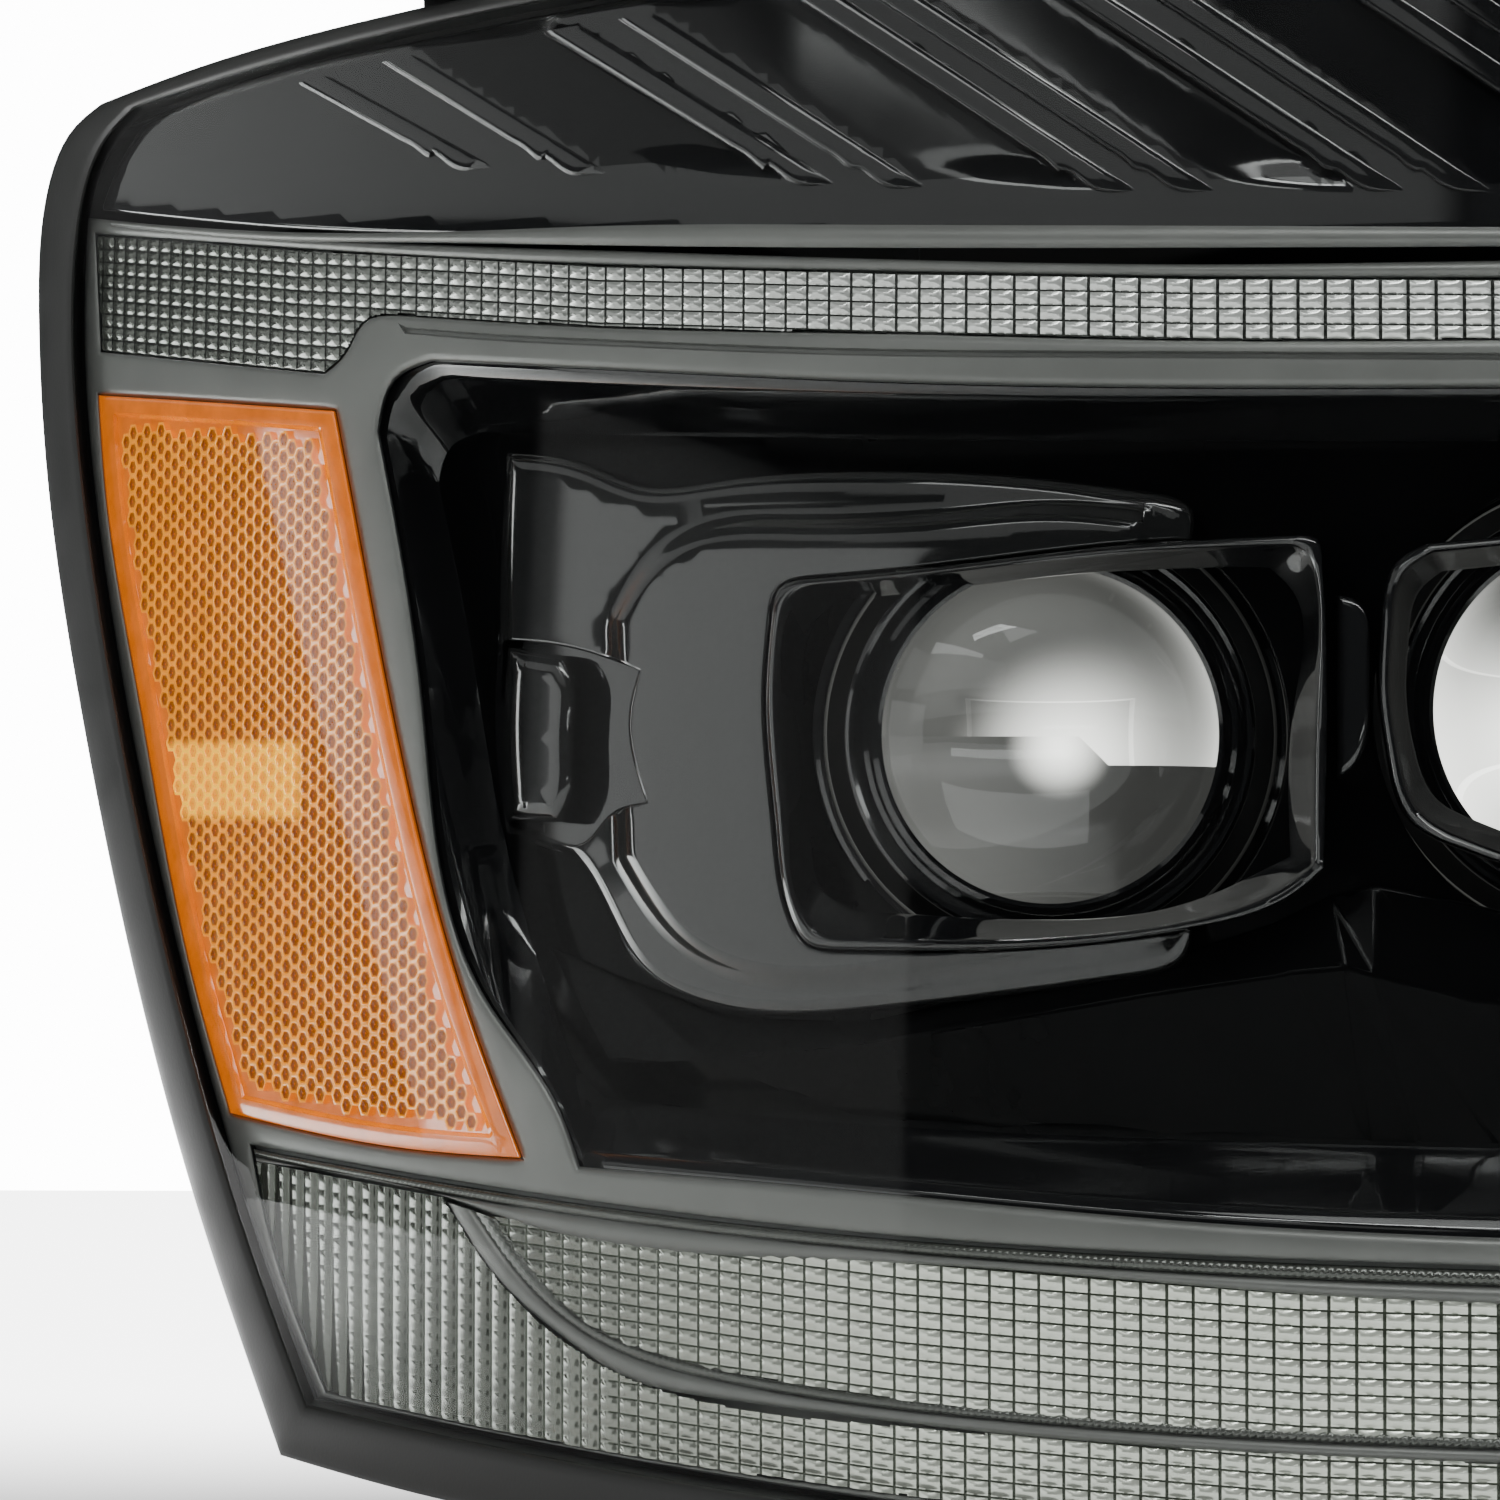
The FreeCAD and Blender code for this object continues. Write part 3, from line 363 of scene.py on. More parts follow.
def lathe(name, profile, axis, material, node, around=128, stands_for=True, sharp=35.0):
    """Turns a (radius, y) profile about an optical axis. A radius of 0 closes onto the axis."""
    x, y, z = axis
    verts, rows = [], []
    for radius, depth in profile:
        if radius < 1e-6:
            rows.append([len(verts)])
            verts.append((x, y + depth, z))
            continue
        rows.append(list(range(len(verts), len(verts) + around)))
        for k in range(around):
            turn = 2 * math.pi * k / around
            verts.append((x + radius * math.cos(turn), y + depth, z + radius * math.sin(turn)))
    faces = []
    pairs = list(zip(rows, rows[1:]))
    if len(rows[0]) > 1:
        pairs.append((rows[-1], rows[0]))
    for here, there in pairs:
        if len(here) == 1 and len(there) == 1:
            continue
        for k in range(around):
            j = (k + 1) % around
            if len(here) == 1:
                faces.append((here[0], there[j], there[k]))
            elif len(there) == 1:
                faces.append((here[k], here[j], there[0]))
            else:
                faces.append((here[k], here[j], there[j], there[k]))
    return add_piece(name, np.array(verts), faces, material, node, stands_for, sharp)


# ---- materials --------------------------------------------------------------------------
def new_material(name):
    material = bpy.data.materials.new(name)
    material.use_nodes = True
    tree = material.node_tree
    return material, tree, tree.nodes["Principled BSDF"]


def feed(tree, node, values=(), links=()):
    """Sets some of a node's inputs to values and joins others to earlier outputs."""
    for socket, value in dict(values).items():
        node.inputs[socket].default_value = value
    for socket, source in dict(links).items():
        tree.links.new(source, node.inputs[socket])


def add_node(tree, kind, values=(), links=(), **settings):
    node = tree.nodes.new("ShaderNode" + kind)
    for key, setting in settings.items():
        setattr(node, key, setting)
    feed(tree, node, values, links)
    return node


def add_math(tree, operation, *given):
    """Each thing given is a number or an earlier output."""
    numbers = {i: g for i, g in enumerate(given) if isinstance(g, (int, float))}
    outputs = {i: g for i, g in enumerate(given) if i not in numbers}
    return add_node(tree, "Math", numbers, outputs, operation=operation).outputs["Value"]


def axes_of(tree, space="Object"):
    """The surface point's coordinates, as separate outputs."""
    place = add_node(tree, "TexCoord")
    return add_node(tree, "SeparateXYZ", links={"Vector": place.outputs[space]}).outputs


def add_noise(tree, scale, detail=4.0):
    place = add_node(tree, "TexCoord")
    values = {"Scale": scale, "Detail": detail}
    return add_node(tree, "TexNoise", values, {"Vector": place.outputs["Object"]}).outputs["Fac"]


def spread(tree, source, start, end, low=0.0, high=1.0, kind="LINEAR"):
    """Maps start to end of the source onto low to high."""
    values = {"From Min": start, "From Max": end, "To Min": low, "To Max": high}
    return add_node(tree, "MapRange", values, {"Value": source}, interpolation_type=kind).outputs["Result"]


def add_range(tree, noise, low, high):
    """Noise keeps near its middle, so 0.3 to 0.7 covers the whole range."""
    return spread(tree, noise, 0.3, 0.7, low, high)


def add_mix(tree, factor, first, second):
    values = {"A": (*first, 1.0), "B": (*second, 1.0)}
    return add_node(tree, "Mix", values, {"Factor": factor}, data_type="RGBA").outputs["Result"]


def finish(name, color, metallic=0.0, roughness=0.4, vary=0.06, tint=0.12, scale=90.0, bump=0.0,
           bump_scale=900.0, coat=0.0, coat_roughness=0.05, transmission=0.0, ior=1.5, specular=0.5):
    """A surface whose colour, roughness and fine grain are driven by noise."""
    material, tree, shader = new_material(name)
    noise = add_noise(tree, scale)
    dark = tuple(c * (1 - tint) for c in color)
    light = tuple(min(1.0, c * (1 + tint)) for c in color)
    feed(tree, shader,
         {"Metallic": metallic, "IOR": ior, "Specular IOR Level": specular, "Coat Weight": coat,
          "Coat Roughness": coat_roughness, "Transmission Weight": transmission},
         {"Base Color": add_mix(tree, add_range(tree, noise, 0.0, 1.0), dark, light),
          "Roughness": add_range(tree, noise, max(0.0, roughness - vary), roughness + vary)})
    if bump:
        grain = add_noise(tree, bump_scale, 2.0)
        relief = add_node(tree, "Bump", {"Strength": bump, "Distance": GRAIN_HEIGHT}, {"Height": grain})
        tree.links.new(relief.outputs["Normal"], shader.inputs["Normal"])
    return material


def clear_cover():
    """Clear cover: see-through, with a surface that mirrors more at a slant."""
    material, tree, shader = new_material("clear_cover")
    tree.nodes.remove(shader)
    through = add_node(tree, "BsdfTransparent", {"Color": (0.97, 0.98, 0.975, 1.0)})
    rough = add_range(tree, add_noise(tree, 40.0), 0.01, 0.03)
    mirror = add_node(tree, "BsdfGlossy", links={"Roughness": rough})
    slant = add_node(tree, "LayerWeight", {"Blend": 0.5})
    power = add_math(tree, "POWER", slant.outputs["Facing"], 5.0)
    share = add_math(tree, "MULTIPLY_ADD", power, 0.5, 0.006)
    mix = add_node(tree, "MixShader",
                   links={"Fac": share, 1: through.outputs["BSDF"], 2: mirror.outputs["BSDF"]})
    tree.links.new(mix.outputs["Shader"], tree.nodes["Material Output"].inputs["Surface"])
    return material


def amber(name, color, glow, roughness, light):
    """Amber plastic with a faint painted glow standing in for light through the amber, in another colour
    where the marker's source is behind it.
    """
    material, tree, shader = new_material(name)
    noise = add_noise(tree, 160.0)
    tinted = add_mix(tree, add_range(tree, noise, 0.0, 1.0),
                     tuple(0.85 * c for c in color), tuple(min(1.0, 1.1 * c) for c in color))
    axes = axes_of(tree)
    shares = []
    for axis, middle, half in PAINTED_GLOW_PATCH:
        away = add_math(tree, "ABSOLUTE", add_math(tree, "SUBTRACT", axes[axis], middle))
        shares.append(spread(tree, away, half + PAINTED_GLOW_EDGE, half - PAINTED_GLOW_EDGE))
    glow_patch = add_math(tree, "MULTIPLY", *shares)
    body = add_node(tree, "Mix", {"B": (*glow, 1.0)}, {"Factor": glow_patch, "A": tinted},
                    data_type="RGBA").outputs["Result"]
    feed(tree, shader,
         {"Emission Strength": light, "Coat Weight": 1.0, "Coat IOR": 1.7, "Coat Roughness": 0.04},
         {"Base Color": body, "Emission Color": body,
          "Roughness": add_range(tree, noise, roughness - 0.05, roughness + 0.05)})
    return material


def optic(name, outboard, inboard, roughness, start, end):
    """Clear optic over a bright back: darker towards the wing, brighter inboard."""
    material, tree, shader = new_material(name)
    noise = add_noise(tree, 130.0)
    across = spread(tree, axes_of(tree)["X"], start, end, kind="SMOOTHSTEP")
    wander = add_math(tree, "MULTIPLY_ADD", noise, 0.16, across)
    feed(tree, shader,
         {"Metallic": 0.65, "Coat Weight": 1.0, "Coat Roughness": 0.03},
         {"Base Color": add_mix(tree, wander, outboard, inboard),
          "Roughness": add_range(tree, noise, roughness - 0.04, roughness + 0.04)})
    return material


def painted_glow_inside(name, axis):
    """The dark inside of a projector with painted light: a faint painted glow, stronger outboard, and two
    painted hot spots that stand in for reflections seen through the glass.
    """
    material, tree, shader = new_material(name)
    noise = add_noise(tree, 110.0)
    x, _, z = ((np.array(axis) + SHIFT) / 1000.0).tolist()
    axes = axes_of(tree)
    painted_glow = spread(tree, axes["X"], x - 0.012, x + 0.010, 0.14, 0.04, "SMOOTHSTEP")
    flat = add_node(tree, "CombineXYZ", links={"X": axes["X"], "Z": axes["Z"]}).outputs["Vector"]
    for dx, dz, reach, strength in PAINTED_HOT_SPOTS:
        away = add_node(tree, "VectorMath", {1: (x + dx, 0.0, z + dz)}, {0: flat}, operation="DISTANCE")
        painted_spot = spread(tree, away.outputs["Value"], 0.0, reach, strength, 0.0, "SMOOTHSTEP")
        painted_glow = add_math(tree, "ADD", painted_glow, painted_spot)
    feed(tree, shader,
         {"Emission Color": (1.0, 1.0, 0.95, 1.0), "Specular IOR Level": 0.3},
         {"Emission Strength": painted_glow,
          "Base Color": add_mix(tree, noise, (0.04, 0.04, 0.038), (0.06, 0.06, 0.057)),
          "Roughness": add_range(tree, noise, 0.15 - 0.04, 0.15 + 0.04)})
    return material


def soften(obj, width, segments, angle):
    """Rounds the edges of an object that are sharper than the angle."""
    bevel = obj.modifiers.new("soft_edges", "BEVEL")
    bevel.width, bevel.segments = width, segments
    bevel.limit_method = "ANGLE"
    bevel.angle_limit = math.radians(angle)
    bevel.use_clamp_overlap = True


# Metres: the height of fine grain; the patch of painted glow over the marker's source behind the amber as
# (axis, middle, half size), and how softly it ends; each painted hot spot's place from the axis, reach and
# strength.
GRAIN_HEIGHT = 0.0002
PAINTED_GLOW_PATCH = (("X", -0.165, 0.0165), ("Z", -0.1605, 0.0075))
PAINTED_GLOW_EDGE = 0.001
PAINTED_HOT_SPOTS = ((0.001, -0.001, 0.006, 3.0), (0.019, -0.009, 0.004, 0.25))

RIM = finish("rim_plastic", (0.026, 0.027, 0.026), 0.0, 0.36, 0.05, 0.06, 60.0, 0.12, 1400.0, specular=0.2)
SATIN = finish("satin_trim", (0.175, 0.178, 0.170), 0.40, 0.34, 0.03, 0.05, 70.0, 0.06, 1800.0)
GLOSS = finish("gloss_black", (0.006, 0.006, 0.0065), 0.0, 0.07, 0.02, 0.15, 50.0, 0.0, coat=1.0,
               coat_roughness=0.02)
WING_GLOSS = finish("wing_gloss", (0.008, 0.008, 0.008), 0.0, 0.10, 0.02, 0.12, 50.0, 0.0, coat=1.0,
                    coat_roughness=0.03)
# A darker, less mirror-like copy of the gloss black: painted shade for the recessed bays and the louvre
# walls.
BAY_PAINTED_SHADE = finish("deep_black_painted_shade", (0.003, 0.003, 0.0034), 0.0, 0.09, 0.02, 0.15, 50.0, 0.0, specular=0.4)
# A darker, barely mirroring copy of the gloss black: painted shade deep in the opening.
INTERIOR_PAINTED_SHADE = finish("interior_black_painted_shade", (0.0022, 0.0022, 0.0024), 0.0, 0.12, 0.03, 0.15, 50.0, 0.0,
                  specular=0.07)
OPTIC = optic("pillow_optic", (0.10, 0.11, 0.09), (0.86, 0.87, 0.84), 0.15, -0.19, 0.02)
LOWER_OPTIC = optic("lower_optic", (0.028, 0.034, 0.024), (0.92, 0.95, 0.84), 0.16, -0.115, 0.0)
# Darker copies of the optics for the grooves between cells: painted shade.
SEAM_PAINTED_SHADE = finish("cell_seam_painted_shade", (0.020, 0.022, 0.019), 0.4, 0.25, 0.04, 0.12, 120.0, 0.0)
LOWER_SEAM_PAINTED_SHADE = finish("lower_cell_seam_painted_shade", (0.050, 0.058, 0.042), 0.4, 0.25, 0.04, 0.12, 120.0, 0.0)
ROPE = finish("ribbed_optic", (0.09, 0.095, 0.085), 0.6, 0.22, 0.04, 0.10, 150.0, 0.0, coat=1.0,
              coat_roughness=0.04)
# All three amber materials carry a painted glow that stands in for light through the amber.
AMBER_RIB_PAINTED_LIGHT = amber("amber_rib_painted_light", (0.46, 0.150, 0.0), (0.70, 0.32, 0.0), 0.25, 1.9)
# The rib amber is a lighter copy with stronger glow, a painted highlight; the pit amber is a darker copy
# with weaker glow, painted shade.
AMBER_PIT_PAINTED_SHADE = amber("amber_pit_painted_shade", (0.13, 0.022, 0.0), (0.62, 0.25, 0.0), 0.30, 0.8)
AMBER_RIM = amber("amber_rim", (0.42, 0.085, 0.0), (0.42, 0.085, 0.0), 0.18, 1.4)
CLEAR = clear_cover()
GLASS = finish("polished_glass", (1.0, 1.0, 1.0), 0.0, 0.004, 0.002, 0.0, 30.0, 0.0, transmission=1.0,
               ior=1.49)
PAINTED_GLOW_BOWLS = {"low": painted_glow_inside("low_bowl_painted_glow", LOW_AXIS), "high": painted_glow_inside("high_bowl_painted_glow", HIGH_AXIS)}
BY_SLOT = {
    "housing": finish("housing_plastic", (0.030, 0.031, 0.032), 0.0, 0.55, 0.08, 0.15, 50.0, 0.35, 1300.0),
    "lens_border": RIM,
    "clear_lens": CLEAR,
    "seal": finish("seal_rubber", (0.015, 0.015, 0.015), 0.0, 0.75, 0.06, 0.2, 120.0, 0.2, 900.0),
    "satin_trim": SATIN,
    "gloss_black": GLOSS,
    "pillow_optic": OPTIC,
    "lower_optic": LOWER_OPTIC,
    "amber": AMBER_RIM,
    "tray": finish("tray_plastic", (0.05, 0.008, 0.005), 0.0, 0.4, 0.05, 0.2, 80.0, 0.1, 900.0),
    "light_box": finish("light_box_plastic", (0.5, 0.51, 0.5), 0.0, 0.4, 0.05, 0.1, 80.0, 0.1, 900.0),
    "board": finish("board_mask", (0.62, 0.63, 0.60), 0.0, 0.4, 0.05, 0.1, 120.0, 0.1, 900.0),
    "projector_glass": GLASS,
    "projector_metal": finish("cast_aluminium", (0.30, 0.30, 0.31), 0.9, 0.45, 0.08, 0.12, 60.0, 0.25,
                              1100.0),
    "heat_sink": finish("heat_sink_aluminium", (0.42, 0.43, 0.44), 0.9, 0.42, 0.07, 0.1, 70.0, 0.2, 1200.0),
    "black_metal": finish("coated_steel", (0.022, 0.022, 0.023), 0.3, 0.45, 0.06, 0.15, 80.0, 0.15, 1000.0),
    "steel": finish("zinc_steel", (0.60, 0.60, 0.58), 1.0, 0.32, 0.07, 0.1, 90.0, 0.1, 1500.0),
    "nylon": finish("natural_nylon", (0.62, 0.60, 0.52), 0.0, 0.45, 0.05, 0.06, 70.0, 0.1, 900.0),
    "cap_plastic": finish("cap_plastic", (0.024, 0.024, 0.026), 0.0, 0.48, 0.07, 0.15, 60.0, 0.3, 1200.0),
    "cap_rubber": finish("cap_rubber", (0.03, 0.03, 0.03), 0.0, 0.7, 0.06, 0.15, 90.0, 0.2, 900.0),
}
for node_name, node_obj in frame["nodes"].items():
    node_obj.data.materials.clear()
    node_obj.data.materials.append(BY_SLOT[SLOT_OF[node_name]])
    soften(node_obj, 0.0003, 2, 40)


# ---- outlines in (x, z) -------------------------------------------------------------------
RIM_OUTER = [
    [(-151, -141), (-155, -131.5), (-169.5, -96.5), (-184.5, -53), (-201, 8.5), (-209.5, 50),
     (-213.5, 92.5), (-212, 115), (-205.5, 128), (-198, 132.5)],
    [(-198, 132.5), (-173, 137), (-130, 142), (-46, 148), (36, 148.5), (131, 145.5), (160, 143)],
    [(160, 143), (171, 137), (174.5, 122)],
    [(174.5, 122), (174.5, 57), (172, -28), (167, -136)],
    [(167, -136), (163, -149), (150, -155)],
    [(150, -155), (78, -154.5), (-27, -149.5), (-117, -145.5), (-151, -141)],
]
RIM_INNER = [
    [(-145, -130.5), (-160.5, -94.5), (-175, -53), (-192.5, 12), (-200, 49.5), (-204, 91.5),
     (-202.5, 110), (-196.5, 124.5), (-189, 130.5)],
    [(-189, 130.5), (-173, 133), (-127.5, 138.5), (-46, 143.5), (36, 144), (131, 141), (156, 138.5)],
    [(156, 138.5), (164, 134), (167, 123)],
    [(167, 123), (167.5, 57), (165, -28), (161, -130)],
    [(161, -130), (157, -141), (146, -145)],
    [(146, -145), (78, -144.5), (-45.5, -139.5), (-125, -132.5), (-145, -130.5)],
]
PANEL = [
    [(-198, 111.5), (-195, 118), (-188.5, 127)],
    [(-188.5, 127), (-174, 131), (-128, 136.5), (-46, 141.5), (36, 142), (131, 139), (154, 136.5)],
    [(154, 136.5), (162, 131.5), (165, 122)],
    [(165, 122), (165, 86.5)],
    [(165, 86.5), (79.5, 87), (-27.5, 90.5), (-85.5, 95), (-149.5, 101.5), (-198, 110.5)],
    [(-198, 110.5), (-198, 111.5)],
]
TRIM = [
    [(-143.5, -129.5), (-159, -94.5), (-173.5, -53), (-191, 12), (-198.5, 49.5), (-202.5, 91.5),
     (-202, 109.5)],
    [(-202, 109.5), (-149.5, 100.0), (-85.5, 92.5), (-27.5, 87.5), (27, 84.5), (79.5, 83.8), (165.5, 83)],
    [(165.5, 83), (166, 57), (163.5, -28), (159.5, -130)],
    [(159.5, -130), (156, -140), (146, -143.5)],
    [(146, -143.5), (78, -143), (-45.5, -138), (-125, -131), (-143.5, -129.5)],
]
TOP_LAMP = [
    [(-199.5, 105.5), (-197.5, 81)],
    [(-197.5, 81), (-173, 77), (-144, 72.5)],
    [(-144, 72.5), (-139.5, 76), (-135.5, 82), (-127.5, 83)],
    [(-127.5, 83), (-85.5, 78), (-27.5, 74), (27, 71), (79.5, 70), (160, 70)],
    [(160, 70), (160, 80)],
    [(160, 80), (79.5, 80.5), (27, 82), (-27.5, 85), (-85.5, 89.5), (-150, 97.5), (-199.5, 105.5)],
]
REFLECTOR = [
    [(-198, 71.5), (-141.5, 64.5)],
    [(-141.5, 64.5), (-137.5, 46.5), (-126.5, -2.5), (-112.5, -50.5), (-100.5, -80)],
    [(-100.5, -80), (-125.5, -79.5), (-163.5, -75)],
    [(-163.5, -75), (-173.5, -45.5), (-186.5, 8), (-195.5, 49.5), (-198, 71.5)],
]
MAIN_OPENING = [
    [(-120.5, 73), (-128, 70), (-131.5, 60)],
    [(-131.5, 60), (-121.5, 7), (-107.5, -50.5), (-93.5, -69), (-88.5, -81)],
    [(-88.5, -81), (-46, -82.5), (26, -86.5), (78, -88), (148, -88.5)],
    [(148, -88.5), (155, -84), (157, -70)],
    [(157, -70), (160, 0), (160, 50)],
    [(160, 50), (157, 58), (148, 60.5)],
    [(148, 60.5), (79.5, 61), (-27.5, 64.5), (-85.5, 69.5), (-120.5, 73)],
]
OPENING_FLOOR = [
    [(-111, 59.5), (-118, 57), (-120.5, 50)],
    [(-120.5, 50), (-114, 22), (-108, -10), (-94, -56), (-90, -64), (-85, -69)],
    [(-85, -69), (-46, -71.5), (26, -73), (78, -73.5), (140, -74)],
    [(140, -74), (147, -71), (149, -62)],
    [(149, -62), (152, 0), (152, 42)],
    [(152, 42), (149.5, 49), (141, 51.5)],
    [(141, 51.5), (79.5, 52.5), (-27.5, 55), (-85.5, 58), (-111, 59.5)],
]
LOWER_LAMP = [
    [(-158.5, -81.5), (-104.5, -86.5), (-27, -91.5), (44, -93.2), (156, -94)],
    [(156, -94), (154.5, -128)],
    [(154.5, -128), (151, -138), (142, -141.5)],
    [(142, -141.5), (78, -141.5), (-36.5, -137), (-104.5, -132), (-141.5, -128)],
    [(-141.5, -128), (-154.5, -98), (-158.5, -81.5)],
]
UPPER_CELLS = [
    [(-104.5, -92.5), (-27, -96), (44, -99), (155.8, -99.5)],
    [(155.8, -99.5), (155, -122.5)],
    [(155, -122.5), (78, -122.5), (-9, -121), (-63.5, -116.3)],
    [(-63.5, -116.3), (-88.5, -109), (-104.5, -92.5)],
]
LOWER_CELLS = [
    [(-157.5, -84.5), (-117, -88.5)],
    [(-117, -88.5), (-104.5, -104.5), (-80, -120), (-48, -125.3)],
    [(-48, -125.3), (26, -127), (78, -127.7), (154.6, -127.7)],
    [(154.6, -127.7), (151, -138), (142, -141.3)],
    [(142, -141.3), (78, -141.3), (-36.5, -136.8), (-104.5, -131.8), (-141.3, -127.8)],
    [(-141.3, -127.8), (-154, -98), (-157.5, -84.5)],
]
LOW_BEZEL = [
    [(-46.5, 29), (-50, 28), (-52, 22), (-53, 6.5), (-51, -17.5), (-47.5, -35), (-45, -38.5),
     (-40.5, -39.5)],
    [(-40.5, -39.5), (-9, -39), (27, -34.5), (44, -28.5), (49, -24)],
    [(49, -24), (49.5, 6), (48.8, 32), (48, 35), (45, 35.8)],
    [(45, 35.8), (9, 34), (-27.5, 30.3), (-46.5, 29)],
]
LOW_OPENING = [
    [(-40, 25.5), (-44, 22), (-46.5, 6.5), (-45, -18), (-42, -30), (-36, -33)],
    [(-36, -33), (-9, -34), (27, -30), (43.5, -22)],
    [(43.5, -22), (44.3, 6), (43.5, 27), (40, 30.5)],
    [(40, 30.5), (9, 30), (-27.5, 26.5), (-40, 25.5)],
]
HIGH_BEZEL = [
    [(67, 34), (62, 31), (59, 19), (58.5, 9.5), (60, -4), (64, -15.5), (69, -19)],
    [(69, -19), (90, -26), (115, -29), (136, -28)],
    [(136, -28), (146, -20), (149, 5), (146, 30), (138, 37)],
    [(138, 37), (115, 38), (90, 36), (67, 34)],
]
HIGH_OPENING = [
    [(70, 29.5), (66, 26), (64, 17), (63.5, 8), (65, -3), (69, -12), (74, -15)],
    [(74, -15), (90, -21), (113, -24.5), (133, -23.5)],
    [(133, -23.5), (141, -16), (143.5, 5), (141, 26), (134, 32)],
    [(134, 32), (113, 33.5), (90, 31.5), (70, 29.5)],
]
WING = [
    [(-106, 55.5), (-89.5, 52.5), (-78, 48), (-62.5, 48.5), (-37.5, 49.5), (0, 47), (20, 44)],
    [(20, 44), (26, 41), (26, 36)],
    [(26, 36), (26, -36)],
    [(26, -36), (24, -41), (16, -44)],
    [(16, -44), (-31.5, -51), (-62, -51.5), (-78, -44.5), (-94, -22), (-104, -19)],
    [(-104, -19), (-107, 18), (-106, 55.5)],
]
RIDGE = [
    [(-85.5, 22.5), (-76, 36), (-68, 40.5), (-47, 42), (-18.5, 42.5), (0, 43.5), (19, 41.5)],
    [(19, 41.5), (22, -37)],
    [(22, -37), (-9, -43), (-27.5, -46), (-60, -46), (-69.5, -41.5), (-83.5, -24)],
    [(-83.5, -24), (-85.5, 22.5)],
]
POD_HOLLOW = [
    [(-106, 18.5), (-94.5, 17.5), (-78, 12.5)],
    [(-78, 12.5), (-80, 4), (-76.5, -12.5)],
    [(-76.5, -12.5), (-84, -15), (-88, -19.5), (-104, -17.5)],
    [(-104, -17.5), (-106.3, 0), (-106, 18.5)],
]
POD = [
    [(-105, 17.5), (-93.5, 15.5)],
    [(-93.5, 15.5), (-91.6, 12), (-91.3, 0), (-91.8, -12), (-94, -16.5)],
    [(-94, -16.5), (-105, -16.5)],
    [(-105, -16.5), (-106, 0), (-105, 17.5)],
]


def circle(x, z, radius, count=96):
    turn = np.linspace(0, 2 * math.pi, count, endpoint=False)
    return np.stack([x + radius * np.cos(turn), z + radius * np.sin(turn)], axis=1)


# ---- rim and clear cover ------------------------------------------------------------------
def build_rim():
    outer, inner = twin_loops(RIM_OUTER, RIM_INNER, 2.5)
    section = [(0.0, 16.0), (0.0, 2.2), (0.03, 1.1), (0.10, 0.35), (0.22, -0.15), (0.4, -0.45),
               (0.6, -0.55),
               (0.78, -0.4), (0.88, -0.1), (0.95, 0.5), (0.99, 1.4), (1.0, 3.0), (1.0, 16.0)]
    ring_between("rim", outer, inner, section, RIM, "lens_frame")


def build_cover():
    edge = inset(loop(RIM_INNER, 3.0), 0.05)
    plate("clear_cover", edge, 0.3, 2.6, CLEAR, "outer_lens", radius=0.3, spacing=6.0)


# ---- gloss top panel with louvres -----------------------------------------------------------
# Each louvre's tip, how far its ridge reaches outboard, and its slope. They stand in pairs.
LOUVRES = [
    ((-108, 110), 41, 0.60), ((-84.5, 107), 40, 0.66),
    ((-40, 102), 57, 0.68), ((-23, 100.5), 59, 0.70),
    ((15.5, 98), 62, 0.72), ((29.5, 97.5), 62, 0.72),
    ((63, 96.5), 62, 0.72), ((78, 96), 62, 0.72),
    ((112, 95.7), 62, 0.72), ((127, 95.5), 62, 0.72),
    ((161, 95.3), 62, 0.72), ((176, 95), 62, 0.72),
]


def panel_foot(x):
    """Height where the louvres end."""
    return np.interp(x, [-150, -108, -84, -40, -23, 16, 30, 63, 78, 165],
                     [112, 110, 107, 102, 100.5, 98, 97.5, 96.5, 96, 95])


def build_top_panel():
    outline = loop(PANEL, 2.0)

    def top_edge(x):
        return np.interp(x, [-198, -188.5, -174, -128, -46, 36, 131, 154, 165],
                         [111, 126.0, 130.2, 135.5, 140.5, 141, 138, 135.5, 122])

    def bays(x, z):
        """How far each point stands across its bay, and how deep the bay is there."""
        across = np.full_like(x, -1.0)
        deep = np.zeros_like(x)
        for first in range(1, len(LOUVRES) - 1, 2):
            (ax, az), _, slope_a = LOUVRES[first]
            (bx, bz), _, slope_b = LOUVRES[first + 1]
            slope = (slope_a + slope_b) / 2
            left = ax + 1.5 - (z - az) / slope
            right = bx - 9.0 - (z - bz) / slope
            share = (x - left) / np.maximum(right - left, 1.0)
            foot = smooth((z - panel_foot(x) - 0.5) / 5.0)
            inside_bay = (share > 0) & (share < 1.25)
            across = np.where(inside_bay, share, across)
            deep = np.where(inside_bay, foot, deep)
        return across, deep

    def relief(x, z):
        """Between two louvre pairs the panel falls away towards the next pair."""
        across, deep = bays(x, z)
        return np.clip(across, 0, 1) * 2.6 * deep

    def in_shaded_bay(x, z):
        across, deep = bays(x, z)
        return (across > 0) & (deep > 0.2)

    lines = []
    for (x, z), reach, slope in LOUVRES:
        high = [(x - 2 - reach, z + reach * slope), (x - 2, z + 0.6)]
        line = spline(high, 30)
        keep = inside(line, inset(outline, 1.2))
        if keep.sum() > 4:
            lines.append(line[keep])
    # The bays between louvre pairs take the darker copy, painted shade in the recesses.
    plate("top_panel", outline, 8.0, 3.0, GLOSS, "top_panel", relief=relief, lines=lines, radius=0.9,
          spacing=2.2, sharp=40.0, second=BAY_PAINTED_SHADE, second_where=in_shaded_bay)
    for index, ((x, z), _, slope) in enumerate(LOUVRES):
        build_louvre(index, x, z, slope, top_edge)


